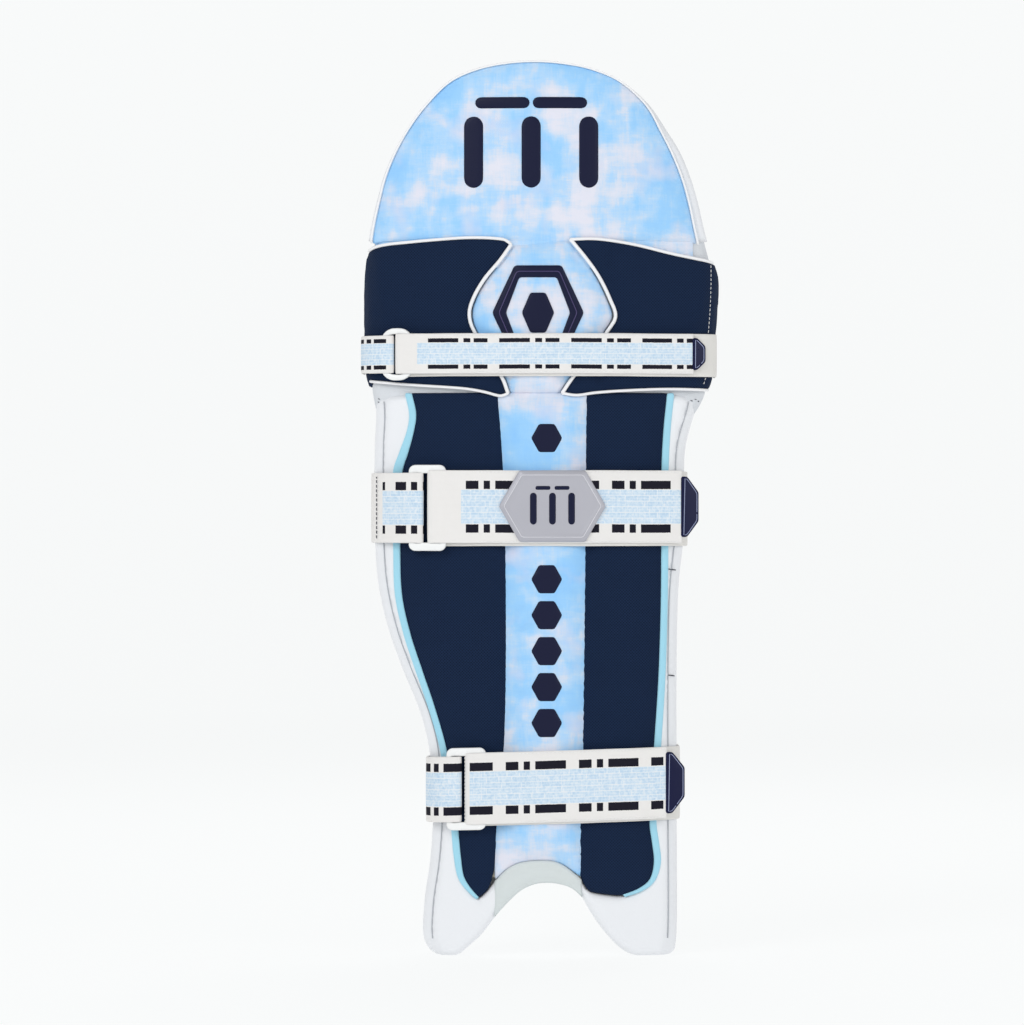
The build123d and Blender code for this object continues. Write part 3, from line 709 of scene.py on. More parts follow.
def strap_print(name, strap, start, plain_until=-1e4):
    """Woven strap face: white ground, dark dashes along both edges and a pale blue brick field.

    The pattern starts at start along the strap, and the strap is plain before plain_until."""
    look = Look(name)
    u, v = look.sheet()
    field, period = strap["field"], strap["period"]
    thread = look.weave(u, v, 0.8)
    ground = look.tinted(rgb(235, 233, 231), (thread, 0.3, rgb(208, 208, 208)),
                         (look.noise(90, 4, 0.6), 0.2, rgb(214, 210, 208)))
    place = look.node("ShaderNodeCombineXYZ", {0: u, 1: v}).outputs[0]

    def bricks(width, row, gap, offset):
        values = {"Vector": place, "Scale": 1.0, "Brick Width": width, "Row Height": row, "Mortar Size": gap,
                  "Mortar Smooth": 0.6, "Color1": (0, 0, 0, 1), "Color2": (0.35, 0.35, 0.35, 1),
                  "Mortar": (1, 1, 1, 1)}
        return look.node("ShaderNodeTexBrick", values, offset=offset, squash=1.6,
                         squash_frequency=3).outputs["Color"]

    row = 2 * field / round(2 * field / 4.3)  # whole rows of about 4.3 mm
    pattern = look.mix(0.4, bricks(row * 2.2, row, row * 0.1, 0.37),
                       bricks(row * 0.9, row / 2, row * 0.08, 0.61))
    speckle = look.ramp(look.noise(420, 3, 0.65), [(0.36, (0, 0, 0)), (0.64, (1, 1, 1))])
    stops = [(0.1, rgb(180, 207, 230)), (0.45, rgb(206, 223, 237)), (0.8, rgb(228, 233, 239))]
    weave = look.ramp(look.mix(0.42, pattern, speckle), stops)
    distance = look.math("ABSOLUTE", v)
    shown = look.math("GREATER_THAN", u, plain_until)
    in_field = look.times(look.math("LESS_THAN", distance, field), shown)
    colour = look.mix(look.times(in_field, 0.92), ground, weave)
    along = look.math("MODULO", look.plus(u, 10000 * period - start), period)
    on = 0.0
    for low, high in strap["dashes"]:
        on = look.math("MAXIMUM", look.between(along, low, high), on)
    ragged = look.noise(1200, 2, 0.6)
    uneven = look.plus(strap["dash_height"] / 2 - 0.35, look.times(ragged, 0.7))
    in_row = look.math("LESS_THAN", look.math("ABSOLUTE", look.minus(distance, strap["dash_row"])), uneven)
    dash = look.times(look.times(on, in_row), shown)
    ink = look.tinted(rgb(20, 19, 30), (ragged, 0.35, rgb(58, 58, 70)))
    look.finish(look.mix(dash, colour, ink), 0.78, 0.06, 0.02)
    height = look.plus(look.times(look.wave(v, 0.9), 0.4), look.times(thread, 0.6))
    return look.bump(look.minus(height, look.times(dash, 0.35)), 0.5, 0.00035)


MESH = mesh_fabric()
CANVAS = tie_dye()
WHITE = leather("white_leather", rgb(228, 230, 234))
PIPING = leather("white_piping", rgb(236, 236, 238), 0.06, 0.4)
NAVY_PRINT = leather("navy_print", rgb(20, 24, 52), 0.2, 0.36, 1500, 0.14)
TRIM = woven("blue_trim", rgb(168, 218, 236), rgb(130, 192, 216), 0.9, 0.35, 0.55)
GREY = woven("grey_binding", rgb(214, 220, 220), rgb(186, 196, 198), 1.0, 0.4, 0.7)
LINING_CLOTH = woven("lining_fabric", rgb(222, 224, 229), rgb(199, 203, 211), 1.2, 0.4, 0.85)
GUSSET = woven("white_gusset", rgb(224, 227, 231), rgb(180, 186, 194), 1.4, 0.7, 0.8)
FOAM = leather("foam", rgb(228, 222, 204), 0.2, 0.8, 1200)
CANE = leather("cane", rgb(206, 178, 128), 0.5, 0.5, 300)
WEBBING = woven("webbing", rgb(233, 231, 227), rgb(205, 203, 200), 0.8, 0.55, 0.8)
HOOK = woven("hook_tape", rgb(226, 224, 218), rgb(176, 174, 168), 0.9, 1.0, 0.7)
LOOP = plastic("loop_plastic", rgb(235, 236, 236), 0.28)
TIP = plastic("tip_plastic", rgb(8, 14, 54), 0.3, 0.15, 0.16)
# pale colour for the ridge along the dark tip: painted highlight on a raised ridge
TIP_EDGE_HIGHLIGHT = plastic("tip_edge_highlight", rgb(150, 158, 190), 0.3, 0.1, 0.2)
SILVER = silver()
# lighter silver for the line on the badge rim's crest: painted highlight
SILVER_EDGE_HIGHLIGHT = plastic("silver_edge_highlight", rgb(214, 214, 220), 0.3, 0.1, 0.5)
RIDGE = leather("print_ridge", rgb(74, 66, 110), 0.1, 0.35)
THREAD = leather("white_thread", rgb(238, 238, 238), 0.1, 0.6)
DARK_THREAD = leather("dark_thread", rgb(62, 64, 76), 0.2, 0.6)
# grey for the lines that paint the shadow in the wing seams
SEAM = leather("seam_shadow", rgb(176, 180, 186), 0.2, 0.7)


def dress(obj, mat, body, slot, *nodes):
    """Gives a piece its material and its body, and hides the CAD nodes that it stands for. slot is not used.
    """
    obj.data.materials.clear()
    obj.data.materials.append(mat)
    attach(obj, body)
    if nodes:
        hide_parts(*nodes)
    return obj


# ---------------------------------------------------------------- more ways to build a piece

def ribbon(name, path, middle, half, edges, tilt=0.0, ripple=0.0):
    """A strap: path is (s, height) along its middle, and middle and half are its height and half width."""
    thickness, across = 1.6, 13
    path = resample(smooth_run(path, 1.0), 1.5, False)
    centre = surface(path[:, 0], np.full(len(path), middle), path[:, 1], edges)
    along = np.gradient(centre, axis=0)
    along[:, 2] = 0
    along /= np.linalg.norm(along, axis=1)[:, None]
    outward = np.column_stack([along[:, 1], -along[:, 0], np.zeros(len(along))])
    edge = thickness / 2
    v = np.linspace(-half + edge, half - edge, across)
    section = [(value, edge) for value in v]
    section += [(half - edge + edge * math.cos(a), edge * math.sin(a)) for a in np.linspace(1.2, -1.2, 5)]
    section += [(value, -edge) for value in v[::-1]]
    section += [(-half + edge - edge * math.cos(a), edge * math.sin(a)) for a in np.linspace(-1.2, 1.2, 5)]
    section = np.array(section)
    run = run_length(centre)
    wavy = ripple * (np.sin(run / 17.0 + middle) + 0.6 * np.sin(run / 7.3 + 2 * middle))
    points = (centre[:, None] + outward[:, None] * (section[None, :, 1:2])
              + np.array([0, 0, 1.0]) * (section[None, :, 0:1] + wavy[:, None, None] * 0.5))
    edge_dip = (np.abs(section[:, 0]) / half) ** 6
    points -= outward[:, None] * edge_dip[None, :, None] * 0.25
    tilted(points, tilt)
    # the inner side has its own stretch of the sheet, beyond any print
    sheet_v = section[:, 0] + np.where(section[:, 1] < -edge * 0.99, 200.0, 0.0)
    return closed_skin(name, points, np.stack(np.broadcast_arrays(run[:, None], sheet_v[None, :]), -1))


def closed_skin(name, rings, uv):
    """A closed skin through rings of points (rows, points, 3), capped at both ends."""
    return fix_normals(new_object(name, rings.reshape(-1, 3), capped(*rings.shape[:2]), uv.reshape(-1, 2)))


def tilted(points, tilt):
    """Raises points towards the right by the tilt in degrees."""
    points[..., 2] += points[..., 0] * math.tan(math.radians(tilt))
    return points


def blend_piece(obj, mat, bodies, start, end, slot, *nodes):
    """Gives a piece of cloth between two bodies its material, hides the CAD nodes that it stands for and
    bakes its transform. start and end are not used.
    """
    obj.data.materials.clear()
    obj.data.materials.append(mat)
    if nodes:
        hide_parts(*nodes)
    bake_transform(obj)
    return obj


def hexagon(x, z, half_width, half_height, half_top):
    corners = [(-half_top, half_height), (half_top, half_height), (half_width, 0),
               (half_top, -half_height), (-half_top, -half_height), (-half_width, 0)]
    return np.array([(on_front(x + dx), z + dz) for dx, dz in corners])


def rounded(loop, radius):
    """An outline with its corners rounded."""
    out = []
    t = np.linspace(0, 1, 6)[:, None]
    for before, corner, after in zip(np.roll(loop, 1, axis=0), loop, np.roll(loop, -1, axis=0)):
        lengths = [np.linalg.norm(end - corner) for end in (before, after)]
        reach = min(radius, 0.4 * min(lengths))
        a, b = (corner + (end - corner) / length * reach for end, length in zip((before, after), lengths))
        out.append((1 - t) ** 2 * a + 2 * t * (1 - t) * corner + t ** 2 * b)
    return np.vstack(out)


# ---------------------------------------------------------------- shin

BEND_SLOPE = math.tan(math.radians(11.5))
HINGE_DEPTH = 18.0


def rear_edge(side, depths, edges):
    """The rear edge of a wing as (s, z), from heights and depths behind the crown."""
    line = smooth_run([(z, depth) for depth, z in depths], 6.0)
    return [(wrap(side, z, depth, edges), z) for z, depth in line]


def bend_edge(side, seam, sign, depths, edges):
    """The edge of a wall at a bend, which slopes away from the seam behind the hinge."""
    out = []
    for depth in depths:
        z = seam + sign * (0.8 + (depth - HINGE_DEPTH) * BEND_SLOPE)
        out.append((wrap(side, z, depth, edges), z))
    return out


LEFT_PANEL_OUT = [(-49.5, 46), (-56, 53.5), (-61, 62.5), (-63.5, 78), (-66, 104), (-74, 159), (-84, 195),
                  (-94, 224.5), (-103, 252), (-109.6, 282), (-111, 318), (-109, 380), (-105, 393),
                  (-100, 412), (-98.5, 424),
                  (-102, 440.5)]
LEFT_PANEL_IN = [(-35, 440.5), (-31, 380), (-29, 310), (-30, 170), (-36, 101.5), (-37, 80), (-38, 64),
                 (-42, 53), (-49.5, 46)]
RIGHT_PANEL_OUT = [(49, 49), (64, 48), (77, 53), (85, 60), (88.5, 73), (87, 89), (85, 104), (89, 170),
                   (92, 216.5), (94, 279), (94.5, 381), (96, 411), (99, 440.5)]
RIGHT_PANEL_IN = [(36, 440.5), (35.5, 380), (35, 310), (33, 170), (31, 104), (30.5, 78), (31, 62), (37, 52),
                  (49, 49)]
TRIM_WIDTH = 5.0
TUCK = 1.4  # the mesh panels reach this far under the spine
MOTIF_HEIGHTS = (183, 211, 239, 267, 295, 405)
ARCH = [(-66, 1), (-58, 8), (-48, 17), (-37, 31), (-26, 43), (-16, 52), (-5, 57), (5, 58), (14, 57), (24, 54),
        (32, 47), (38, 36.5), (49, 21), (60, 9), (68, 3), (75, 0.5)]
ARCH_BAND_TOP = [(-37, 59), (-26, 69.5), (-16, 74), (2, 75.5), (14, 73.5), (31.5, 61)]


WELT_INSET = 6.0


def welt(flat, _):
    """A shallow seam a few millimetres inside the wing's front corner."""
    reach = np.where(flat[:, 0] > 0, SHIN[1](flat[:, 1]), -SHIN[0](flat[:, 1]))
    line = FRONT_RADIUS * np.arcsin(np.clip((reach - WELT_INSET) / FRONT_RADIUS, 0, 1))
    return -1.6 * np.exp(-((np.abs(flat[:, 0]) - line) / 1.5) ** 2)


def shin_panels():
    for side, tuck, outer, inner in (("left", TUCK, LEFT_PANEL_OUT, LEFT_PANEL_IN),
                                     ("right", -TUCK, RIGHT_PANEL_OUT, RIGHT_PANEL_IN)):
        outer, inner = front_points(outer), front_points([(x + tuck * (z > 66), z) for x, z in inner])
        panel = sheet_piece(f"shin_mesh_panel_{side}", outline(outer, [outer[-1], inner[0]], inner), SHIN,
                            0.0, -1.5, 1.6, 2.0, 9, 3.6, cloth=MESH_SWELL)
        dress(panel, MESH, "shin", "navy_mesh", f"shin_panel_{side}")


def shin_spine():
    left = front_points([(-35.5, 440.5), (-31.2, 380), (-29.2, 310), (-30.2, 170), (-36.2, 101.5), (-37, 76),
                         (-36.5, 60.5)])
    right = front_points([(31.8, 62), (31.8, 78), (32.5, 104), (34, 170), (35.5, 310), (36, 380),
                          (36.5, 440.5)])
    foot = front_points([(-36, 60.5), *ARCH_BAND_TOP[1:-1], (31.5, 62)])
    spine = sheet_piece("shin_spine_panel", outline(left, foot, right, [right[-1], left[0]]),
                        SHIN, -0.4, -2.0, 1.8, 4.4, 11, 3.4, cloth=SPINE_SWELL)
    dress(spine, CANVAS, "shin", "sky_canvas", "shin_spine")
    marks = [sheet_piece(f"motif{z}", rounded(hexagon(4, z, 12, 11, 6), 1.0), SHIN, 0.45, -0.6, 0.5, 0.1, 3,
                         1.8, on=spine) for z in MOTIF_HEIGHTS]
    dress(join("shin_spine_motif", marks), NAVY_PRINT, "shin", "navy_print", "spine_motif")


def shin_trims():
    for side, line in (("left", LEFT_PANEL_OUT), ("right", RIGHT_PANEL_OUT[1:])):
        sign = -1 if side == "left" else 1
        inner = front_points([(x - sign * 0.6, z + 0.6 * (z < 60)) for x, z in line])
        outer = []
        for x, z in line:
            width = TRIM_WIDTH * np.interp(z, (46, 66, 360, 385, 410), (0.3, 1, 1, 1.5 if sign < 0 else 1, 1))
            slant = np.interp(z, (46, 74), (0.8, 0.0))  # the strip turns below the tips
            outer.append((x + sign * width * (1 - 0.35 * slant), z - width * slant))
        outer = front_points(outer)
        trim = sheet_piece(f"wing_trim_strip_{side}",
                           outline(inner, [inner[-1], outer[-1]], outer[::-1], [outer[0], inner[0]]),
                           SHIN, 1.1, -1, 1.0, 0.4, 2, 2.8)
        dress(trim, TRIM, "shin", "blue_trim", f"wing_trim_{side}")


FOOT_Z = 0.4
SHIN_WINGS = {  # the rear edge as (depth, height), depths along the top, and the foot's end on the front
    "left": (-1, [(58, 0.5), (60, 60), (70, 150), (84, 250), (90, 330), (83, 400), (60, 432)],
             (60, 45, 32), -83),
    "right": (1, [(58, 0.5), (60, 60), (64, 150), (68, 250), (71, 330), (68, 400), (54, 433)],
              (54, 42, 30), 102),
}


def shin_wings():
    """White skins that run round the pad's edge to the rear, and down into the ankle ears."""
    arch, band = front_points(ARCH), front_points(ARCH_BAND_TOP)
    crown_s = on_front(-5)
    middle = 6  # the arch's point where the two wings meet
    split_top = (crown_s, 75.6)
    for name, (side, rear, top, foot_x) in SHIN_WINGS.items():
        rear, top = rear_edge(side, rear, SHIN), bend_edge(side, KNEE_SEAM, -1, top, SHIN)
        corner, toe = (wrap(side, 0.5, 38, SHIN), FOOT_Z), (on_front(foot_x), FOOT_Z)
        if name == "left":
            outer = front_points(LEFT_PANEL_OUT)
            loop = outline(rear[::-1], [rear[0], corner], [corner, toe], [toe, arch[0]],
                           [p for p in arch if p[0] <= crown_s + 1e-6], [arch[middle], split_top],
                           [split_top, band[2], band[1], band[0]],
                           [band[0], (outer[0][0] + 5, 50.5), outer[0]], outer, [outer[-1], top[-1]],
                           [*top[::-1], rear[-1]])
        else:
            outer = front_points(RIGHT_PANEL_OUT)
            loop = outline(rear, [rear[-1], *top], [top[-1], outer[-1]], outer[::-1],
                           [outer[0], (outer[0][0] - 12, 52), band[-1]],
                           [band[-1], band[-2], band[-3], split_top], [split_top, arch[middle]],
                           arch[middle:], [arch[-1], toe], [toe, corner], [corner, rear[0]])
        piece = sheet_piece(f"shin_wing_skin_{name}", loop, SHIN, 0.3, -14.5, 6.0, 0.6, 10, 3.8, relief=welt)
        dress(piece, WHITE, "shin", "white_leather", f"shin_wing_{name}", f"ankle_ear_{name}")


def wing_seams():
    """Grey lines that paint the shadow in the seams a few millimetres inside the edges, and two tacks on the
    right wing.
    """
    heights = np.linspace(14, 434, 60)
    lines = []
    for side, edge in ((-1, SHIN[0]), (1, SHIN[1])):
        runs = [(side * FRONT_RADIUS * math.asin((abs(edge(z)) - WELT_INSET) / FRONT_RADIUS), z)
                for z in heights]
        lines.append(tube(f"line{side}", skin_line(runs, 0.45, SHIN, 3.0)[0], 0.42, 6))
    # the grey tubes along the seams are painted shadow
    dress(join("wing_seam_shadow_lines", lines), SEAM, "shin", "white_leather")
    tacks = [skin_line(front_points([(99, z + 0.8), (105.5, z)]), 1.2, SHIN, 1.0) for z in (302, 219)]
    dress(stitches("wing_tacks", tacks, 2.6, 2.8, 0.5), DARK_THREAD, "shin", "white_leather")


shin_panels()
shin_spine()
shin_trims()
shin_wings()
wing_seams()


# ---------------------------------------------------------------- knee roll

# the borders of each flap: along the top, round the hexagon and along the bottom
LEFT_FLAP_TOP = [(-137.5, 552.5), (-130, 555), (-120, 557), (-103, 558.5), (-84, 560), (-58, 561.5),
                 (-38, 561), (-28, 559.5), (-23.5, 556)]
LEFT_FLAP_HEX = [(-23.5, 556), (-32, 544), (-44.5, 529), (-53, 514), (-56, 503.5), (-55, 495), (-51, 486),
                 (-40, 467), (-30, 451), (-26, 440)]
LEFT_FLAP_LOW = [(-26, 440), (-31, 438), (-44, 441), (-58, 443.5), (-97.5, 446.5), (-120, 448.5), (-135, 450)]
RIGHT_FLAP_TOP = [(22.5, 560), (42, 560.5), (71, 556.5), (101.5, 549.5), (127.5, 544.5), (135, 543)]
RIGHT_FLAP_HEX = [(16, 440), (24, 452), (40, 472), (51, 488), (57.5, 500), (53, 514), (44, 532), (34, 546),
                  (22.5, 560)]
RIGHT_FLAP_LOW = [(132, 443), (100, 443.5), (71, 442.5), (42, 440.5), (27, 438.5), (16, 440)]
LEFT_FLAP = (LEFT_FLAP_TOP, LEFT_FLAP_HEX, LEFT_FLAP_LOW)
RIGHT_FLAP = (RIGHT_FLAP_TOP, RIGHT_FLAP_HEX, RIGHT_FLAP_LOW)


def knee_flap(side, loop):
    piece = sheet_piece(f"knee_flap_skin_{side}", loop, KNEE, 1.2, -12, 1.6, 1.2, 14, 4.0, cloth=FLAP_SWELL)
    dress(piece, MESH, "knee_roll", "navy_mesh", f"knee_flap_{side}")


def knee_flaps():
    """Mesh flaps that go round the pad's edges, with white piping along their borders."""
    rear = rear_edge(-1, [(64, 455), (70, 480), (70, 525), (60, 546)], KNEE)
    low = bend_edge(-1, KNEE_SEAM, 1, (64, 50, 36), KNEE)
    high = [(wrap(-1, z, depth, KNEE), z) for depth, z in ((34, 551.5), (48, 549.5), (60, 547))]
    top, inner, bottom = map(front_points, LEFT_FLAP)
    knee_flap("left", outline(top, inner, bottom, [bottom[-1], *low[::-1]], [low[0], rear[0]], rear,
                              [rear[-1], *high[::-1]], [high[0], top[0]]))

    rear = rear_edge(1, [(60, 453), (68, 478), (68, 520), (60, 540)], KNEE)
    low = bend_edge(1, KNEE_SEAM, 1, (60, 48, 36), KNEE)
    high = [(wrap(1, z, depth, KNEE), z) for depth, z in ((34, 542), (48, 541), (58, 540.3))]
    top, inner, bottom = map(front_points, RIGHT_FLAP)
    knee_flap("right", outline(top, [top[-1], high[0]], high, [high[-1], rear[-1]], rear[::-1],
                               [rear[0], *low], [low[-1], bottom[0]], bottom, inner))

    line = [(126, 447), (128.3, 455), (129.5, 480), (131.5, 510), (132.2, 541)]
    thread = stitches("knee_flap_stitches", [skin_line(front_points(line), 2.6, KNEE, 2.0)], 2.2, 3.4, 0.26)
    dress(thread, THREAD, "knee_roll", "white_piping")
    tacks = [skin_line(front_points([(x, z), (x + 3, z - 0.6)]), -2.2, GUSSET_EDGES, 1.0)
             for x, z in ((117, 435), (121, 436), (125, 434.5), (-132.4, 434), (-131.5, 436.5))]
    dress(stitches("gusset_tacks", tacks, 2.2, 3.4, 0.3), DARK_THREAD, "shin", "grey_binding")

    for side, borders in (("left", LEFT_FLAP), ("right", RIGHT_FLAP)):
        cords = [tube("cord", skin_line(front_points(line), 2.0, KNEE)[0], radius)
                 for line, radius in zip(borders, (1.25, 1.45, 1.15))]
        dress(join(f"knee_flap_piping_{side}", cords), PIPING, "knee_roll", "white_piping",
              f"knee_piping_{side}")


def knee_hexagon():
    left = front_points([(x + 1.5, z) for x, z in LEFT_FLAP_HEX])
    right = front_points([(x - 1.5, z) for x, z in RIGHT_FLAP_HEX])
    panel = sheet_piece("knee_hexagon_panel",
                        outline(left, [left[-1], right[0]], right, [right[-1], left[0]]), KNEE, -0.4, -2.0,
                        1.8, 4.2, 9, 3.2, cloth=SPINE_SWELL)
    dress(panel, CANVAS, "knee_roll", "sky_canvas", "knee_hex_panel")
    centre = (-2.7, 502.7)
    ring = [rounded(hexagon(*centre, 35.3, 36.9, 18.2), 2.2),
            rounded(hexagon(*centre, 24.6, 27.5, 14.4), 1.6)]
    mark = sheet_piece("knee_hexagon_ring", ring, KNEE, 1.1, -0.8, 0.9, 0.5, 3, 1.6, on=panel)
    dress(mark, NAVY_PRINT, "knee_roll", "navy_print", "knee_hex_ring")
    ridge = resample(rounded(hexagon(*centre, 29.9, 32.2, 16.3), 2.0), 1.5, True)
    height = standing_height(mark, ridge, KNEE) + 0.05
    line = tube("knee_hexagon_ridge", surface(ridge[:, 0], ridge[:, 1], height, KNEE), 0.35, 6, closed=True)
    dress(line, RIDGE, "knee_roll", "navy_print")
    mark = sheet_piece("knee_hexagon_centre", rounded(hexagon(*centre, 12.5, 15.6, 5.9), 1.6), KNEE, 1.1,
                       -0.8, 0.9, 0.5, 4, 1.6, on=panel)
    dress(mark, NAVY_PRINT, "knee_roll", "navy_print", "knee_hex_centre")


knee_flaps()
knee_hexagon()


# ---------------------------------------------------------------- top hat

HAT_EDGE = [(-136, 559), (-133.5, 573), (-129, 592), (-124, 610), (-116, 629), (-105, 648), (-91, 666.5),
            (-71.4, 685), (-48.8, 694.6), (-25, 699), (-3, 700), (18, 698.5), (38.6, 694.6), (62, 685),
            (84, 666.5), (97, 648),
            (109, 629), (117, 610), (122.5, 592), (127, 573), (130.5, 559)]


FACE_LOW = 557.6  # the face's lower edge


def arc(x, y, radius, start, end, count):
    """Points round a centre: angle 0 is outward, and a quarter turn is forward, to smaller y."""
    return [(x + radius * math.cos(a), y - radius * math.sin(a)) for a in np.linspace(start, end, count)]


def band_section(thick, front, rear):
    """Outline of the side band's cross-section as (distance outside the edge, y)."""
    quarter = math.pi / 2
    return [*arc(3 - thick, front + 3.5, 3, 2 * quarter, quarter, 3),
            *arc(-5.5, front + 6, 5.5, quarter, 0, 7), (0.3, (front + rear) / 2),
            *arc(-6, rear - 6, 6, 0, -quarter, 6), *arc(5 - thick, rear - 5, 5, -quarter, -2 * quarter, 5),
            (-thick, (front + rear) / 2)]


def top_hat():
    edge = np.array(HAT_EDGE)
    along = np.linspace(0, 1, len(edge))
    # how far the face stops short of the pad's edge, from left to right
    short = np.interp(along, [0, 0.25, 0.5, 0.68, 0.8, 1], [2.6, 1.2, 1.0, 1.5, 6.5, 8.0])
    rim = front_points(edge - turned_left(unit(np.gradient(edge, axis=0))) * short[:, None])
    right, left = (rim[-1][0], FACE_LOW), (rim[0][0], FACE_LOW)
    loop = outline(rim, [rim[-1], right], [right, left], [left, rim[0]])
    face = sheet_piece("top_hat_canvas", loop, WIDE, 0.0, -6.0, 3.0, 2.2, 16, 3.8, cloth=FACE_SWELL)
    dress(face, CANVAS, "top_hat", "sky_canvas", "top_hat_face")
    emblem = wicket("top_hat_wicket", -8, 628, 104, 56, 15, 0.6, -0.8, 2.2, face)
    dress(emblem, NAVY_PRINT, "top_hat", "navy_print", "top_hat_emblem")
    cord = tube("top_hat_piping", skin_line(rim, 0.5, WIDE, 3.0)[0], 0.85)
    dress(cord, PIPING, "top_hat", "white_piping")

    # the white side band goes back round the edge, deepest at the bottom
    line = smooth_run(HAT_EDGE, 5.0)
    outward = turned_left(unit(np.gradient(line, axis=0)))
    depth = np.interp(line[:, 1], [557, 590, 640, 680, 700], [54, 47, 34, 28, 26])
    wall = np.interp(line[:, 1], [557, 640, 700], [14, 13, 12])
    crown_y = CROWN_CENTRE_Y - np.sqrt(FRONT_RADIUS ** 2 - line[:, 0] ** 2)
    sections = np.array([[(x + out[0] * o, y, z + out[1] * o)
                          for o, y in band_section(thick, front, max(CROWN_Y + back, front + 20))]
                         for (x, z), out, back, thick, front in zip(line, outward, depth, wall, crown_y)])
    # the band is cut along the bend, and its cut edge leans in as it rises
    floor = HAT_SEAM + 0.8 + np.maximum(0, sections[..., 1] - CROWN_Y - HINGE_DEPTH) * BEND_SLOPE
    raised = np.maximum(0, floor - sections[..., 2])
    sections[..., 2] += raised
    sections[..., 0] -= np.sign(sections[..., 0]) * raised * 0.22
    around_run = np.concatenate([[0], np.cumsum(np.linalg.norm(np.diff(sections, axis=1), axis=2).mean(0))])
    uv = np.stack(np.broadcast_arrays(run_length(sections.mean(1))[:, None], around_run[None]), -1)
    band = closed_skin("top_hat_side_band", sections, uv)
    dress(band, WHITE, "top_hat", "white_leather", "top_hat_wing_left", "top_hat_wing_right")


def capsule(x, z, half_length, radius, upright=True):
    """A bar with round ends in the front view."""
    angles = np.linspace(0, math.pi, 9)
    end = np.column_stack([radius * np.cos(angles), half_length - radius + radius * np.sin(angles)])
    loop = np.vstack([end, -end])
    if not upright:
        loop = loop[:, ::-1] * np.array([1, -1])
    return np.array([(on_front(x + dx), z + dz) for dx, dz in loop])


def wicket(name, x, z, width, height, stroke, top, back, spacing, on):
    """Three stumps and two bails, as separate raised prints in one piece."""
    reach = (width - stroke) / 2
    marks = [capsule(x + reach * k, z, height / 2, stroke / 2) for k in (-1, 0, 1)]
    marks += [capsule(x + reach * k / 2, z + height / 2 + stroke * 0.7, (reach - 2) / 2, stroke * 0.3, False)
              for k in (-1, 1)]
    pieces = [sheet_piece(f"{name}{k}", mark, WIDE, top, back, min(0.9, stroke * 0.2), 0.2, 3, spacing, on=on)
              for k, mark in enumerate(marks)]
    return join(name, pieces)


top_hat()


# ---------------------------------------------------------------- straps

WIDE_BAND = dict(dash_row=17.0, dash_height=6.5, field=13.3, period=57.0,
                 dashes=((0, 10), (14, 19), (23, 47)))
STRAPS = {
    "knee": dict(parent="knee_roll", pad=KNEE, z=470.0, half=16.8, flap_z=0.9, flap_half=15.7,
                 keeper_half=14.7, tilt=0.0, keeper_end=-112.2, fold_start=-111.4, plain_to=-97.0,
                 loop=(-110.0, 12.2, 20.4, 10.5, 4.6), end=116.2, tip=125.4, tip_half=12.6, left_rear=56,
                 right_rear=58, first_dash=-88.8, keeper_dash=-152.0, hem=None, lift=2.4, dash_row=10.3,
                 dash_height=3.2, field=8.4, period=56.0,
                 dashes=((0, 24), (28, 33.5), (36, 47))),
    "calf": dict(parent="shin", pad=SHIN, z=350.0, half=29.2, flap_z=1.5, flap_half=28.4, keeper_half=27.4,
                 tilt=0.0, keeper_end=-89.6, fold_start=-86.9, plain_to=-63.6,
                 loop=(-86.7, 14.2, 33.6, 5.0, 6.6), end=107.3,
                 tip=120.0, tip_half=23.7, left_rear=60, right_rear=60, first_dash=-60.0, keeper_dash=-107.0,
                 hem=-119.0, lift=0.0, **WIDE_BAND),
    "ankle": dict(parent="shin", pad=SHIN, z=132.6, half=28.6, flap_z=0.8, flap_half=27.9, keeper_half=25.5,
                  tilt=1.6, keeper_end=-60.6, fold_start=-58.2, plain_to=-57.4,
                  loop=(-57.2, 15.0, 32.1, 5.0, 6.4), end=95.6,
                  tip=109.3, tip_half=24.0, left_rear=54, right_rear=54, first_dash=-86.0, keeper_dash=-85.0,
                  hem=None, lift=0.0, **WIDE_BAND),
}
UNDER, FLAP, RAISED, BEHIND, BAR = 6.3, 8.7, 12.4, 7.2, 9.8  # heights of the strap's runs over the skin
KEEPER_RISE = 0.6  # the keeper and its loop sit this much higher than the strap
SIDE_RIM = 3.2  # of the loops


def loop_ring(name, strap):
    """A flat moulded ring with round corners, on the plane of the strap's fold."""
    x, half_width, half_height, corner, rim = strap["loop"]

    def frame_line(half_w, half_h, radius):
        points = [(x + dx, strap["z"] + KEEPER_RISE + dz) for dx,
                  dz in box_outline(half_w, half_h, radius, 10)]
        return sloped(points, strap["tilt"])

    inner_half = half_width - SIDE_RIM
    inner = frame_line(inner_half, half_height - rim, max(1.5, min(corner - 3.0, inner_half - 1)))
    ring = sheet_piece(f"{name}_loop_ring", [frame_line(half_width, half_height, corner), inner], WIDE,
                       BAR + 1.5, BAR - 1.5, 1.2, 0.15, 2, 1.6)
    dress(ring, LOOP, f"{name}_loop", "loop_plastic", f"{name}_loop")


def sloped(points, tilt):
    """(s, z) of points of the front seen at (x, z), raised towards the right by the tilt."""
    slope = math.tan(math.radians(tilt))
    return np.array([(on_front(x), z + x * slope) for x, z in points])


def strap_line(s, z, height, pad, tilt):
    """A line on a strap, with its outward directions."""
    at, off = standing(s, z, height, pad)
    return tilted(at, tilt), off


def across_line(x, half, middle, height, pad, tilt):
    z = np.linspace(middle - half, middle + half, 30)
    return strap_line(np.full_like(z, on_front(x)), z, height, pad, tilt)


def along_line(start, end, z, height, pad, tilt):
    s = np.arange(on_front(start), on_front(end), 2.0)
    return strap_line(s, np.full_like(s, z), height, pad, tilt)


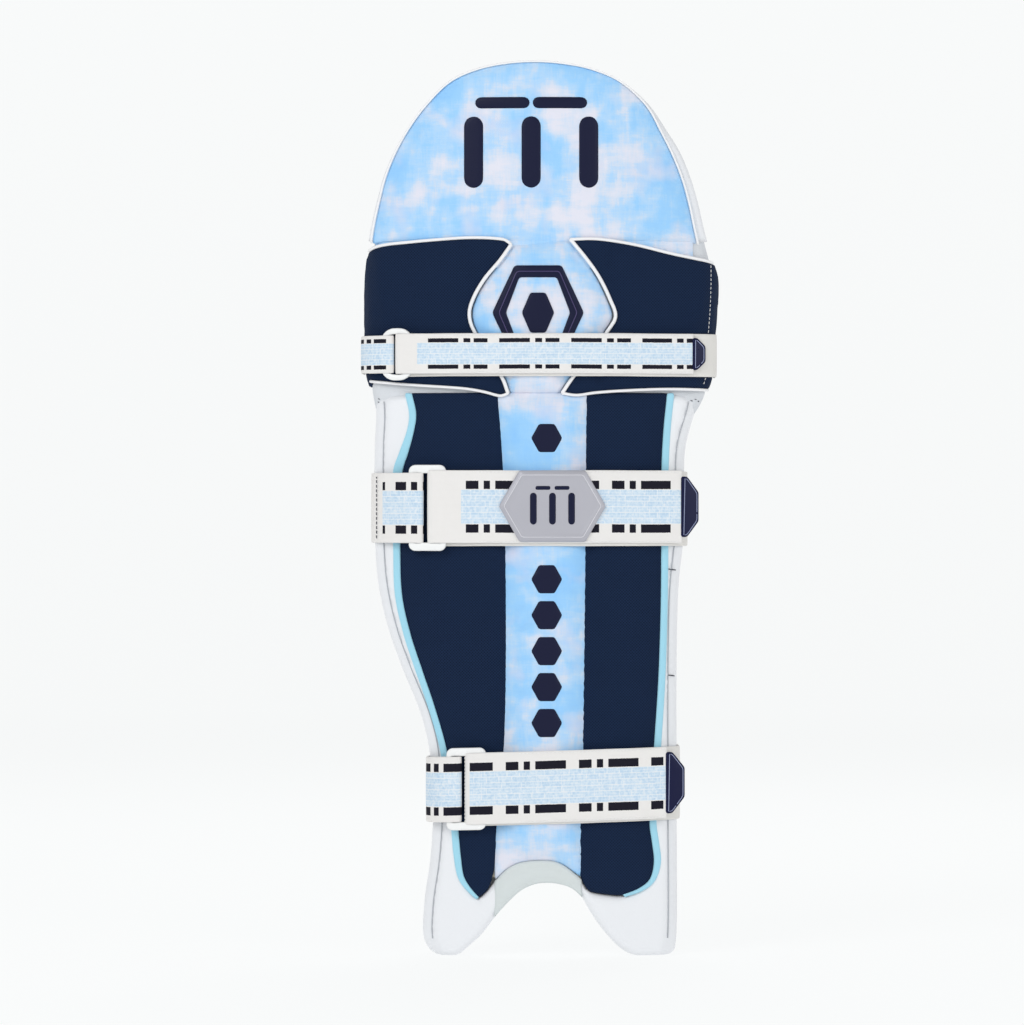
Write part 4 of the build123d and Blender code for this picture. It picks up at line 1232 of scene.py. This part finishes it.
def build_strap(name, strap):
    pad, z, tilt, lift = (strap[key] for key in ("pad", "z", "tilt", "lift"))
    parent, loop, loose_end = strap["parent"], f"{name}_loop", f"{name}_loose_end"
    left_bar, right_bar = (next(j for j in frame["joints"] if j["name"] == f"{name}_{kind}")["pos_m"][0] / MM
                           for kind in ("loop_tilt", "strap_peel"))

    def bar_point(x):
        return x, surface(on_front(x), z, BAR, WIDE)[1], z

    # the fixed run: from behind the loop, over the front, round the right edge
    right_end = wrap(1, z, strap["right_rear"], pad)
    start, edge = on_front(right_bar) - 3, on_front(strap["end"])
    path = [(start, BEHIND), (start + 12, BEHIND - 0.4), (start + 30, UNDER), (0, UNDER), (edge - 25, UNDER),
            (edge - 8, UNDER - 1), (right_end - 45, 3.6 + lift), (right_end - 25, 2.6 + lift),
            (right_end, 2.2 + lift)]
    run = ribbon(f"{name}_fixed_strap", path, z, strap["half"], pad, tilt, 0.15)
    blend_piece(run, WEBBING, (parent, loop), bar_point(right_bar + 26), bar_point(right_bar + 2), "webbing",
                f"{name}_strap")

    # the keeper: round the left edge, through the loop and back on itself
    first = wrap(-1, z, strap["left_rear"], pad)
    turn = on_front(strap["keeper_end"])
    bar_s = on_front(left_bar)
    run_up = bar_s - 10 - first
    path = [(first, 2.2 + lift), (first + min(20, run_up * 0.3), 2.4 + lift),
            (first + min(42, run_up * 0.62), 3.4 + lift), (bar_s - 10, RAISED - 2.6), (bar_s, RAISED),
            (turn - 2.4, RAISED - 0.3), (turn - 0.9, RAISED - 1.6), (turn - 0.8, RAISED - 3.2),
            (turn - 2.4, BEHIND + 0.4), (bar_s - 2, BEHIND), (bar_s - 12, BEHIND - 1.2)]
    keeper = ribbon(f"{name}_keeper_strap", path, z + KEEPER_RISE, strap["keeper_half"], pad, tilt, 0.1)
    shift = -first + 1.5  # how far along the strap a given s is, on the stretch that shows
    hem = on_front(strap["hem"]) + shift if strap["hem"] else -1e4
    printed = strap_print(f"{name}_keeper_print", strap, on_front(strap["keeper_dash"]) + shift, hem)
    blend_piece(keeper, printed, (parent, loop), bar_point(left_bar - 7), bar_point(left_bar), "webbing",
                f"{name}_keeper")
    if strap["hem"]:
        lines = [across_line(strap["hem"] - 7, strap["keeper_half"] - 3, z + KEEPER_RISE, 5.6, pad, tilt)]
        dress(stitches(f"{name}_hem_stitches", lines, 2.6, 3.6, 0.4), DARK_THREAD, parent, "webbing")

    # the loose end: up round the loop's right bar, then down onto the fixed run
    turn = on_front(strap["fold_start"])
    bar_s = on_front(right_bar)
    path = [(bar_s - 3.2, BEHIND + 0.4), (turn + 2.6, BEHIND + 0.4), (turn + 1.0, RAISED - 3.2),
            (turn + 1.0, RAISED - 1.6), (turn + 2.6, RAISED - 0.3), (bar_s, RAISED),
            (bar_s + 10, RAISED - 1.5), (bar_s + 26, FLAP + 0.5), (bar_s + 40, FLAP), (0, FLAP),
            (edge - 30, FLAP), (edge, FLAP)]
    middle = z + strap["flap_z"]
    flap = ribbon(f"{name}_loose_strap", path, middle, strap["flap_half"], WIDE, tilt, 0.12)
    shift = -turn + (bar_s - 3.2 - turn) + 4.5
    printed = strap_print(f"{name}_flap_print", strap, on_front(strap["first_dash"]) + shift,
                          on_front(strap["plain_to"]) + shift)
    bend = (loop, loose_end), bar_point(right_bar - 1), bar_point(right_bar + 9), "webbing"
    blend_piece(flap, printed, *bend, f"{name}_flap")
    lines = [across_line(strap["plain_to"] - 0.8, strap["flap_half"] - 1, middle, FLAP + 1.5, WIDE, tilt)]
    lines += [along_line(strap["plain_to"], strap["end"] - 2, middle + side * (strap["flap_half"] - 1.4),
                         FLAP + 0.8, WIDE, tilt) for side in (-1, 1)]
    blend_piece(stitches(f"{name}_strap_stitches", lines, 2.0, 2.9, 0.26), THREAD, *bend)

    # the keeper is sewn to the left side wall, and the strap is sewn down under the loose end's edge
    lines = []
    for s, half in ((edge - 2.5, strap["half"]), (edge - 9, strap["half"]),
                    (first + 2.5, strap["keeper_half"]), (first + 9, strap["keeper_half"])):
        lines.append(skin_line([(s, z - half + 3), (s, z + half - 3)], 3.2 + lift, pad, 1.0))
    dress(stitches(f"{name}_end_stitches", lines, 2.4, 3.4, 0.34), DARK_THREAD, parent, "webbing")

    # the moulded tip
    half, reach = strap["tip_half"], strap["tip"] - strap["end"]
    e, t = strap["end"] - 1.0, strap["tip"]
    shoulder = t - reach * 0.7
    corners = [(e, -half), (shoulder, -half), (t, -half * 0.48), (t, half * 0.48), (shoulder, half),
               (e, half)]

    def tip_line(inset):
        length, width = 1 - inset / (reach + 1), 1 - inset / half
        return rounded(sloped([(e + (x - e) * length, middle + dz * width) for x, dz in corners], tilt), 1.5)

    tip = sheet_piece(f"{name}_moulded_tip", tip_line(0), WIDE, FLAP + 1.6, FLAP - 1.2, 1.1, 0.25, 3, 1.6)
    dress(tip, TIP, loose_end, "tip_plastic", f"{name}_strap_tip")
    # a thin raised ridge round the tip, coloured pale as a painted highlight
    ridge = resample(tip_line(1.7), 1.5, True)
    ridge = ridge[ridge[:, 0] > on_front(e + 1.5)]
    ridge = np.roll(ridge, -int(np.argmax(np.linalg.norm(np.diff(ridge, axis=0), axis=1))) - 1, axis=0)
    line = surface(ridge[:, 0], ridge[:, 1], FLAP + 1.75, WIDE)
    dress(tube(f"{name}_tip_ridge_highlight", line, 0.28, 6), TIP_EDGE_HIGHLIGHT, loose_end, "tip_plastic")
    loop_ring(name, strap)
    keep_shape(f"{name}_hook_tape", HOOK)


def keep_shape(name, mat):
    """A part that stays as it is designed, with its own material."""
    node = frame["nodes"][name]
    node.data.materials.clear()
    node.data.materials.append(mat)


for strap_name, strap in STRAPS.items():
    build_strap(strap_name, strap)


def bevel(_, gap):
    """A raised rim: the plate climbs in from its edge, then dips to the field."""
    return np.interp(gap, [0, 3.4, 4.4, 6.0], [-1.6, 0.0, 0.0, -0.7])


def calf_badge():
    """The silver hexagon plate on the calf strap's loose end, with a small wicket."""
    x, top = 8.2, 13.0
    plate = rounded(hexagon(x, 352, 40.6, 27.8, 25), 1.6)
    badge = sheet_piece("calf_badge_plate", plate, WIDE, top, 9.2, 0.6, 0.0, 3, 1.6, relief=bevel)
    dress(badge, SILVER, "calf_loose_end", "badge_silver", "calf_badge")
    # a thin line along the crest of the raised rim, coloured lighter as a painted highlight
    rim = resample(rounded(hexagon(x, 352, 36.6, 24.2, 23.0), 1.2), 1.5, True)
    line = tube("calf_badge_rim_highlight", surface(rim[:, 0], rim[:, 1], top, WIDE), 0.32, 6, closed=True)
    dress(line, SILVER_EDGE_HIGHLIGHT, "calf_loose_end", "badge_silver")
    mark = wicket("calf_badge_wicket", x, 350, 34, 25, 5.2, 0.6, -0.6, 1.2, badge)
    dress(mark, NAVY_PRINT, "calf_loose_end", "navy_print", "calf_badge_emblem")


calf_badge()


# ---------------------------------------------------------------- the bends

def web(name, mat, corners, skin, height, thick, seam, reach, bodies, slot):
    """A four-sided web of stretch cloth over soft foam that joins two sections."""
    a, b, c, d = corners
    loop = outline([a, b], [b, c], [c, d], [d, a])
    piece = sheet_piece(name, loop, skin, height, height - thick, 0.4, 0, 1, 3.2)
    blend_piece(piece, mat, bodies, (0, 0, seam - reach), (0, 0, seam + reach), slot)


def box_corners(left, right, low, high):
    return [(left, low), (right, low), (right, high), (left, high)]


def gussets():
    """Webs that close the two bends: round the front and the side walls, and on the leg side."""
    knee, hat = ("shin", "knee_roll"), ("knee_roll", "top_hat")
    for name, seam, below, above, skin, height, bodies, depth in (
            ("knee_bend_gusset", KNEE_SEAM, 20, 16, GUSSET_EDGES, -2.4, knee, 56),
            ("hat_bend_gusset", HAT_SEAM, 19, 15, KNEE, -2.2, hat, 50)):
        low, high = seam - below, seam + above
        corners = [(wrap(side, z, depth, skin), z) for side,
                   z in ((-1, low), (1, low), (1, high), (-1, high))]
        web(name, GUSSET, corners, skin, height, 10.0, seam, 7, bodies, "grey_binding")
    corners = front_points(box_corners(-132.5, 119, HAT_SEAM - 19, HAT_SEAM + 6))
    web("hat_bend_canvas", CANVAS, corners, KNEE, -0.4, 1.5, HAT_SEAM, 7, hat, "sky_canvas")
    for name, seam, bodies in (("knee_bend_leg_gusset", KNEE_SEAM, knee),
                               ("hat_bend_leg_gusset", HAT_SEAM, hat)):
        corners = box_corners(-125, 119, seam - 10, seam + 10)
        web(name, LINING_CLOTH, corners, LEG, -2.0, 9.0, seam, 6, bodies, "lining_fabric")


gussets()


# ---------------------------------------------------------------- leg side

def bend_line(seam, sign, left, right):
    """The edge of a bend's face on the leg side."""
    x = np.linspace(left, right, 15)
    return list(zip(x, seam + sign * (0.8 + (leg_depth(x) - HINGE_DEPTH) * BEND_SLOPE)))


LEG_THICK = 13.0
WALL = 10.5  # the lining starts this far inside the side edges


def lining(name, body, loop, seams, rounding, puff, depth):
    """A quilted lining on the leg side, with double rows of white stitches along its seams."""
    piece = sheet_piece(f"{name}_quilted_lining", loop, LEG, 0.0, -LEG_THICK, rounding, puff, 12, 4.2,
                        seams=seams, seam_depth=depth, cloth=LINING_SWELL)
    dress(piece, LINING_CLOTH, body, "lining_fabric", f"{name}_lining")
    rows = []
    for seam in seams:
        path = smooth_run(seam)
        for shift in (-1.5, 1.5):
            row = path + turned_left(unit(np.gradient(path, axis=0))) * shift
            at = surface(row[:, 0], row[:, 1], standing_height(piece, row, LEG) + 0.1, LEG)
            rows.append((at, np.tile([0.0, 1.0, 0.0], (len(at), 1))))
    dress(stitches(f"{name}_lining_stitches", rows, 2.4, 3.6, 0.32), THREAD, body, "lining_fabric")


def lining_sides(heights, edges):
    return [(edges[0](z) + WALL, z) for z in heights], [(edges[1](z) - WALL, z) for z in heights]


def linings():
    left, right = lining_sides([6, 60, 120, 180, 240, 300, 360, 428], SHIN)
    top = bend_line(KNEE_SEAM, -1, left[-1][0], right[-1][0])
    foot = [(right[0][0] - 4, 1.5), (73, 1.5), (-64, 1.5), (left[0][0] + 3, 1.5)]
    loop = outline(left, [left[-1], top[0]], top, [top[-1], right[-1]], right[::-1], [right[0], foot[0]],
                   foot[:2], [foot[1], *ARCH[::-1][1:-1], foot[2]], foot[2:], [foot[3], left[0]])
    seams = [[(-32, 104), (-36, 250), (-36, 425)], [(37, 104), (36, 250), (36, 425)],
             [(-62, 60), (-44, 82), (-20, 97), (4, 101), (28, 96), (50, 78), (70, 56)],
             [(-104, 422), (0, 424), (96, 422)]]
    lining("shin", "shin", loop, seams, 4.0, 2.2, 2.6)

    left, right = lining_sides((452, 499, 546), KNEE)
    low = bend_line(KNEE_SEAM, 1, left[0][0], right[0][0])
    high = bend_line(HAT_SEAM, -1, left[-1][0], right[-1][0])
    loop = outline(low, [low[-1], right[0]], right, [right[-1], high[-1]], high[::-1], [high[0], left[-1]],
                   left[::-1], [left[0], low[0]])
    seams = [[(-46, 452), (-46, 546)], [(46, 452), (46, 546)], [(-46, 499), (46, 499)]]
    lining("knee", "knee_roll", loop, seams, 3.0, 2.4, 2.8)

    edge = np.array(HAT_EDGE)[::-1]
    rim = [tuple(p) for p in (edge + inward_directions(edge) * 6.0)[::-1] if p[1] > 566]
    low = bend_line(HAT_SEAM, 1, rim[0][0] - 1, rim[-1][0] + 1)
    loop = outline(rim, [rim[-1], low[-1]], low[::-1], [low[0], rim[0]])
    seams = [[(-98, 580), (-84, 632), (-42, 668), (-3, 676), (38, 668), (78, 632), (90, 580)],
             [(-98, 580), (90, 580)], [(-34, 584), (-34, 662)], [(28, 584), (28, 662)]]
    lining("top_hat", "top_hat", loop, seams, 3.0, 2.4, 2.8)


def bolster(name, body, node, x, z, width, height, rise, lean=0.0, channels=0):
    """An upright cushion on the leg side, drawn in by seams across it."""
    half_w, half_h = width / 2, height / 2
    cos, sin = math.cos(math.radians(lean)), math.sin(math.radians(lean))

    def turn(dx, dz):
        return x + dx * cos - dz * sin, z + dx * sin + dz * cos

    loop = np.array([turn(*p) for p in box_outline(half_w, half_h, half_w * 0.92, 15)])
    seams = [[turn(-half_w + 3, h), turn(half_w - 3, h)]
             for h in np.linspace(-half_h, half_h, channels + 2)[1:-1]]
    piece = sheet_piece(name, loop, LEG, rise - 2.5, 0.4, min(rise * 0.75, half_w * 0.85), 1.0, 8, 4.0,
                        seams=seams, seam_depth=rise * 0.16, seam_width=5.0, cloth=BOLSTER_SWELL)
    dress(piece, LINING_CLOTH, body, "lining_fabric", node)
    piping = resample(surface(loop[:, 0], loop[:, 1], 3.0, LEG), 3.0, True)
    dress(tube(f"{name}_piping", piping, 1.3, closed=True), PIPING, body, "white_piping")


linings()
bolster("shin_bolster_cushion_left", "shin", "shin_bolster_left", -68, 262, 37, 298, 24, 8.5, 4)
bolster("shin_bolster_cushion_right", "shin", "shin_bolster_right", 66, 258, 35, 298, 24, -1.5, 4)
bolster("shin_centre_cushion", "shin", "shin_centre_pad", 4, 262, 49, 318, 9.5, 0, 6)
bolster("knee_bolster_cushion_left", "knee_roll", "knee_bolster_left", -78, 499, 43, 80, 24.5, 0, 1)
bolster("knee_bolster_cushion_right", "knee_roll", "knee_bolster_right", 76, 499, 43, 80, 24.5, 0, 1)


# ---------------------------------------------------------------- arch binding, inner layers

def arch_binding():
    """The soft band that lines the arch over the foot."""
    low = front_points([(32, 46.5), (24, 53.5), (14, 57), (5, 58), (-5, 57), (-16, 52), (-26, 43), (-37, 31)])
    high = front_points(ARCH_BAND_TOP)
    loop = outline(high, [high[-1], low[0]], low, [low[-1], high[0]])
    piece = sheet_piece("instep_arch_band", loop, SHIN, 1.6, -8, 3.0, 0.4, 6, 2.4,
                        relief=lambda flat, gap: -0.9 * np.exp(-((gap - 4.5) / 1.0) ** 2))
    dress(piece, GREY, "shin", "grey_binding", "instep_binding")


arch_binding()
for part in ("shin_front_foam", "shin_back_foam", "knee_front_foam", "knee_back_foam", "top_hat_foam"):
    keep_shape(part, FOAM)
for part in ("shin_canes", "knee_canes"):
    keep_shape(part, CANE)


# ---------------------------------------------------------------- camera, floor and light

CAMERA_DISTANCE, VIEW_HEIGHT, SENSOR = 4.0, 0.7995, 36  # the camera sees this height from this distance
CAMERA_X, CAMERA_Z = -0.023, 0.347
FLOOR_REACH, WALL_BEND, WALL_TOP = 5.0, 1.6, 3.4


def floor_mesh():
    """A round floor whose rim curves up into a wall."""
    sides = 64
    profile = [(0.02, 0), (1.5, 0), (FLOOR_REACH, 0)]
    profile += [(FLOOR_REACH + WALL_BEND * math.sin(a), WALL_BEND - WALL_BEND * math.cos(a))
                for a in np.linspace(0.1, math.pi / 2, 12)]
    profile += [(FLOOR_REACH + WALL_BEND, WALL_TOP)]
    verts = [(r * math.cos(2 * math.pi * k / sides), r * math.sin(2 * math.pi * k / sides), z)
             for r, z in profile for k in range(sides)]
    faces = around(len(profile), sides) + [list(range(sides))[::-1]]
    mesh = bpy.data.meshes.new("floor")
    mesh.from_pydata(verts, [], faces)
    mesh.polygons.foreach_set("use_smooth", [True] * len(faces))
    return mesh


def build_stage():
    scene = bpy.context.scene
    scene.view_settings.view_transform = "Standard"
    scene.world = bpy.data.worlds.new("studio")
    scene.world.use_nodes = True
    background = scene.world.node_tree.nodes["Background"]
    background.inputs[0].default_value = (1, 1, 1, 1)
    background.inputs[1].default_value = 0.4

    camera = linked(bpy.data.objects.new("camera", bpy.data.cameras.new("camera")))
    camera.location = (CAMERA_X, CROWN_Y * MM - CAMERA_DISTANCE, CAMERA_Z)
    camera.rotation_euler = (math.pi / 2, 0, 0)
    camera.data.sensor_width = SENSOR
    camera.data.lens = SENSOR * CAMERA_DISTANCE / VIEW_HEIGHT
    scene.camera = camera

    floor = linked(bpy.data.objects.new("floor", floor_mesh()))
    look = Look("studio_floor")
    look.finish((0.14, 0.14, 0.14, 1), 1.0, 0.0)
    look.shader.inputs["Emission Color"].default_value = (0.94, 0.955, 0.955, 1)
    look.shader.inputs["Emission Strength"].default_value = 0.89
    floor.data.materials.append(look.mat)

    for name, place, aim_height, size, power in (("key", (-1.6, -2.4, 2.0), 0.35, (1.6, 1.6), 32),
                                                 ("fill", (2.0, -2.2, 1.0), 0.35, (1.4, 1.8), 14),
                                                 ("rim", (0.3, 1.9, 2.2), 0.4, (1.6, 1.0), 18)):
        data = bpy.data.lights.new(name, "AREA")
        data.shape = "RECTANGLE"
        data.size, data.size_y = size
        data.energy = power
        light = linked(bpy.data.objects.new(name, data))
        light.location = place
        towards = Vector((0, 0, aim_height)) - Vector(place)
        light.rotation_euler = towards.to_track_quat("-Z", "Y").to_euler()


build_stage()
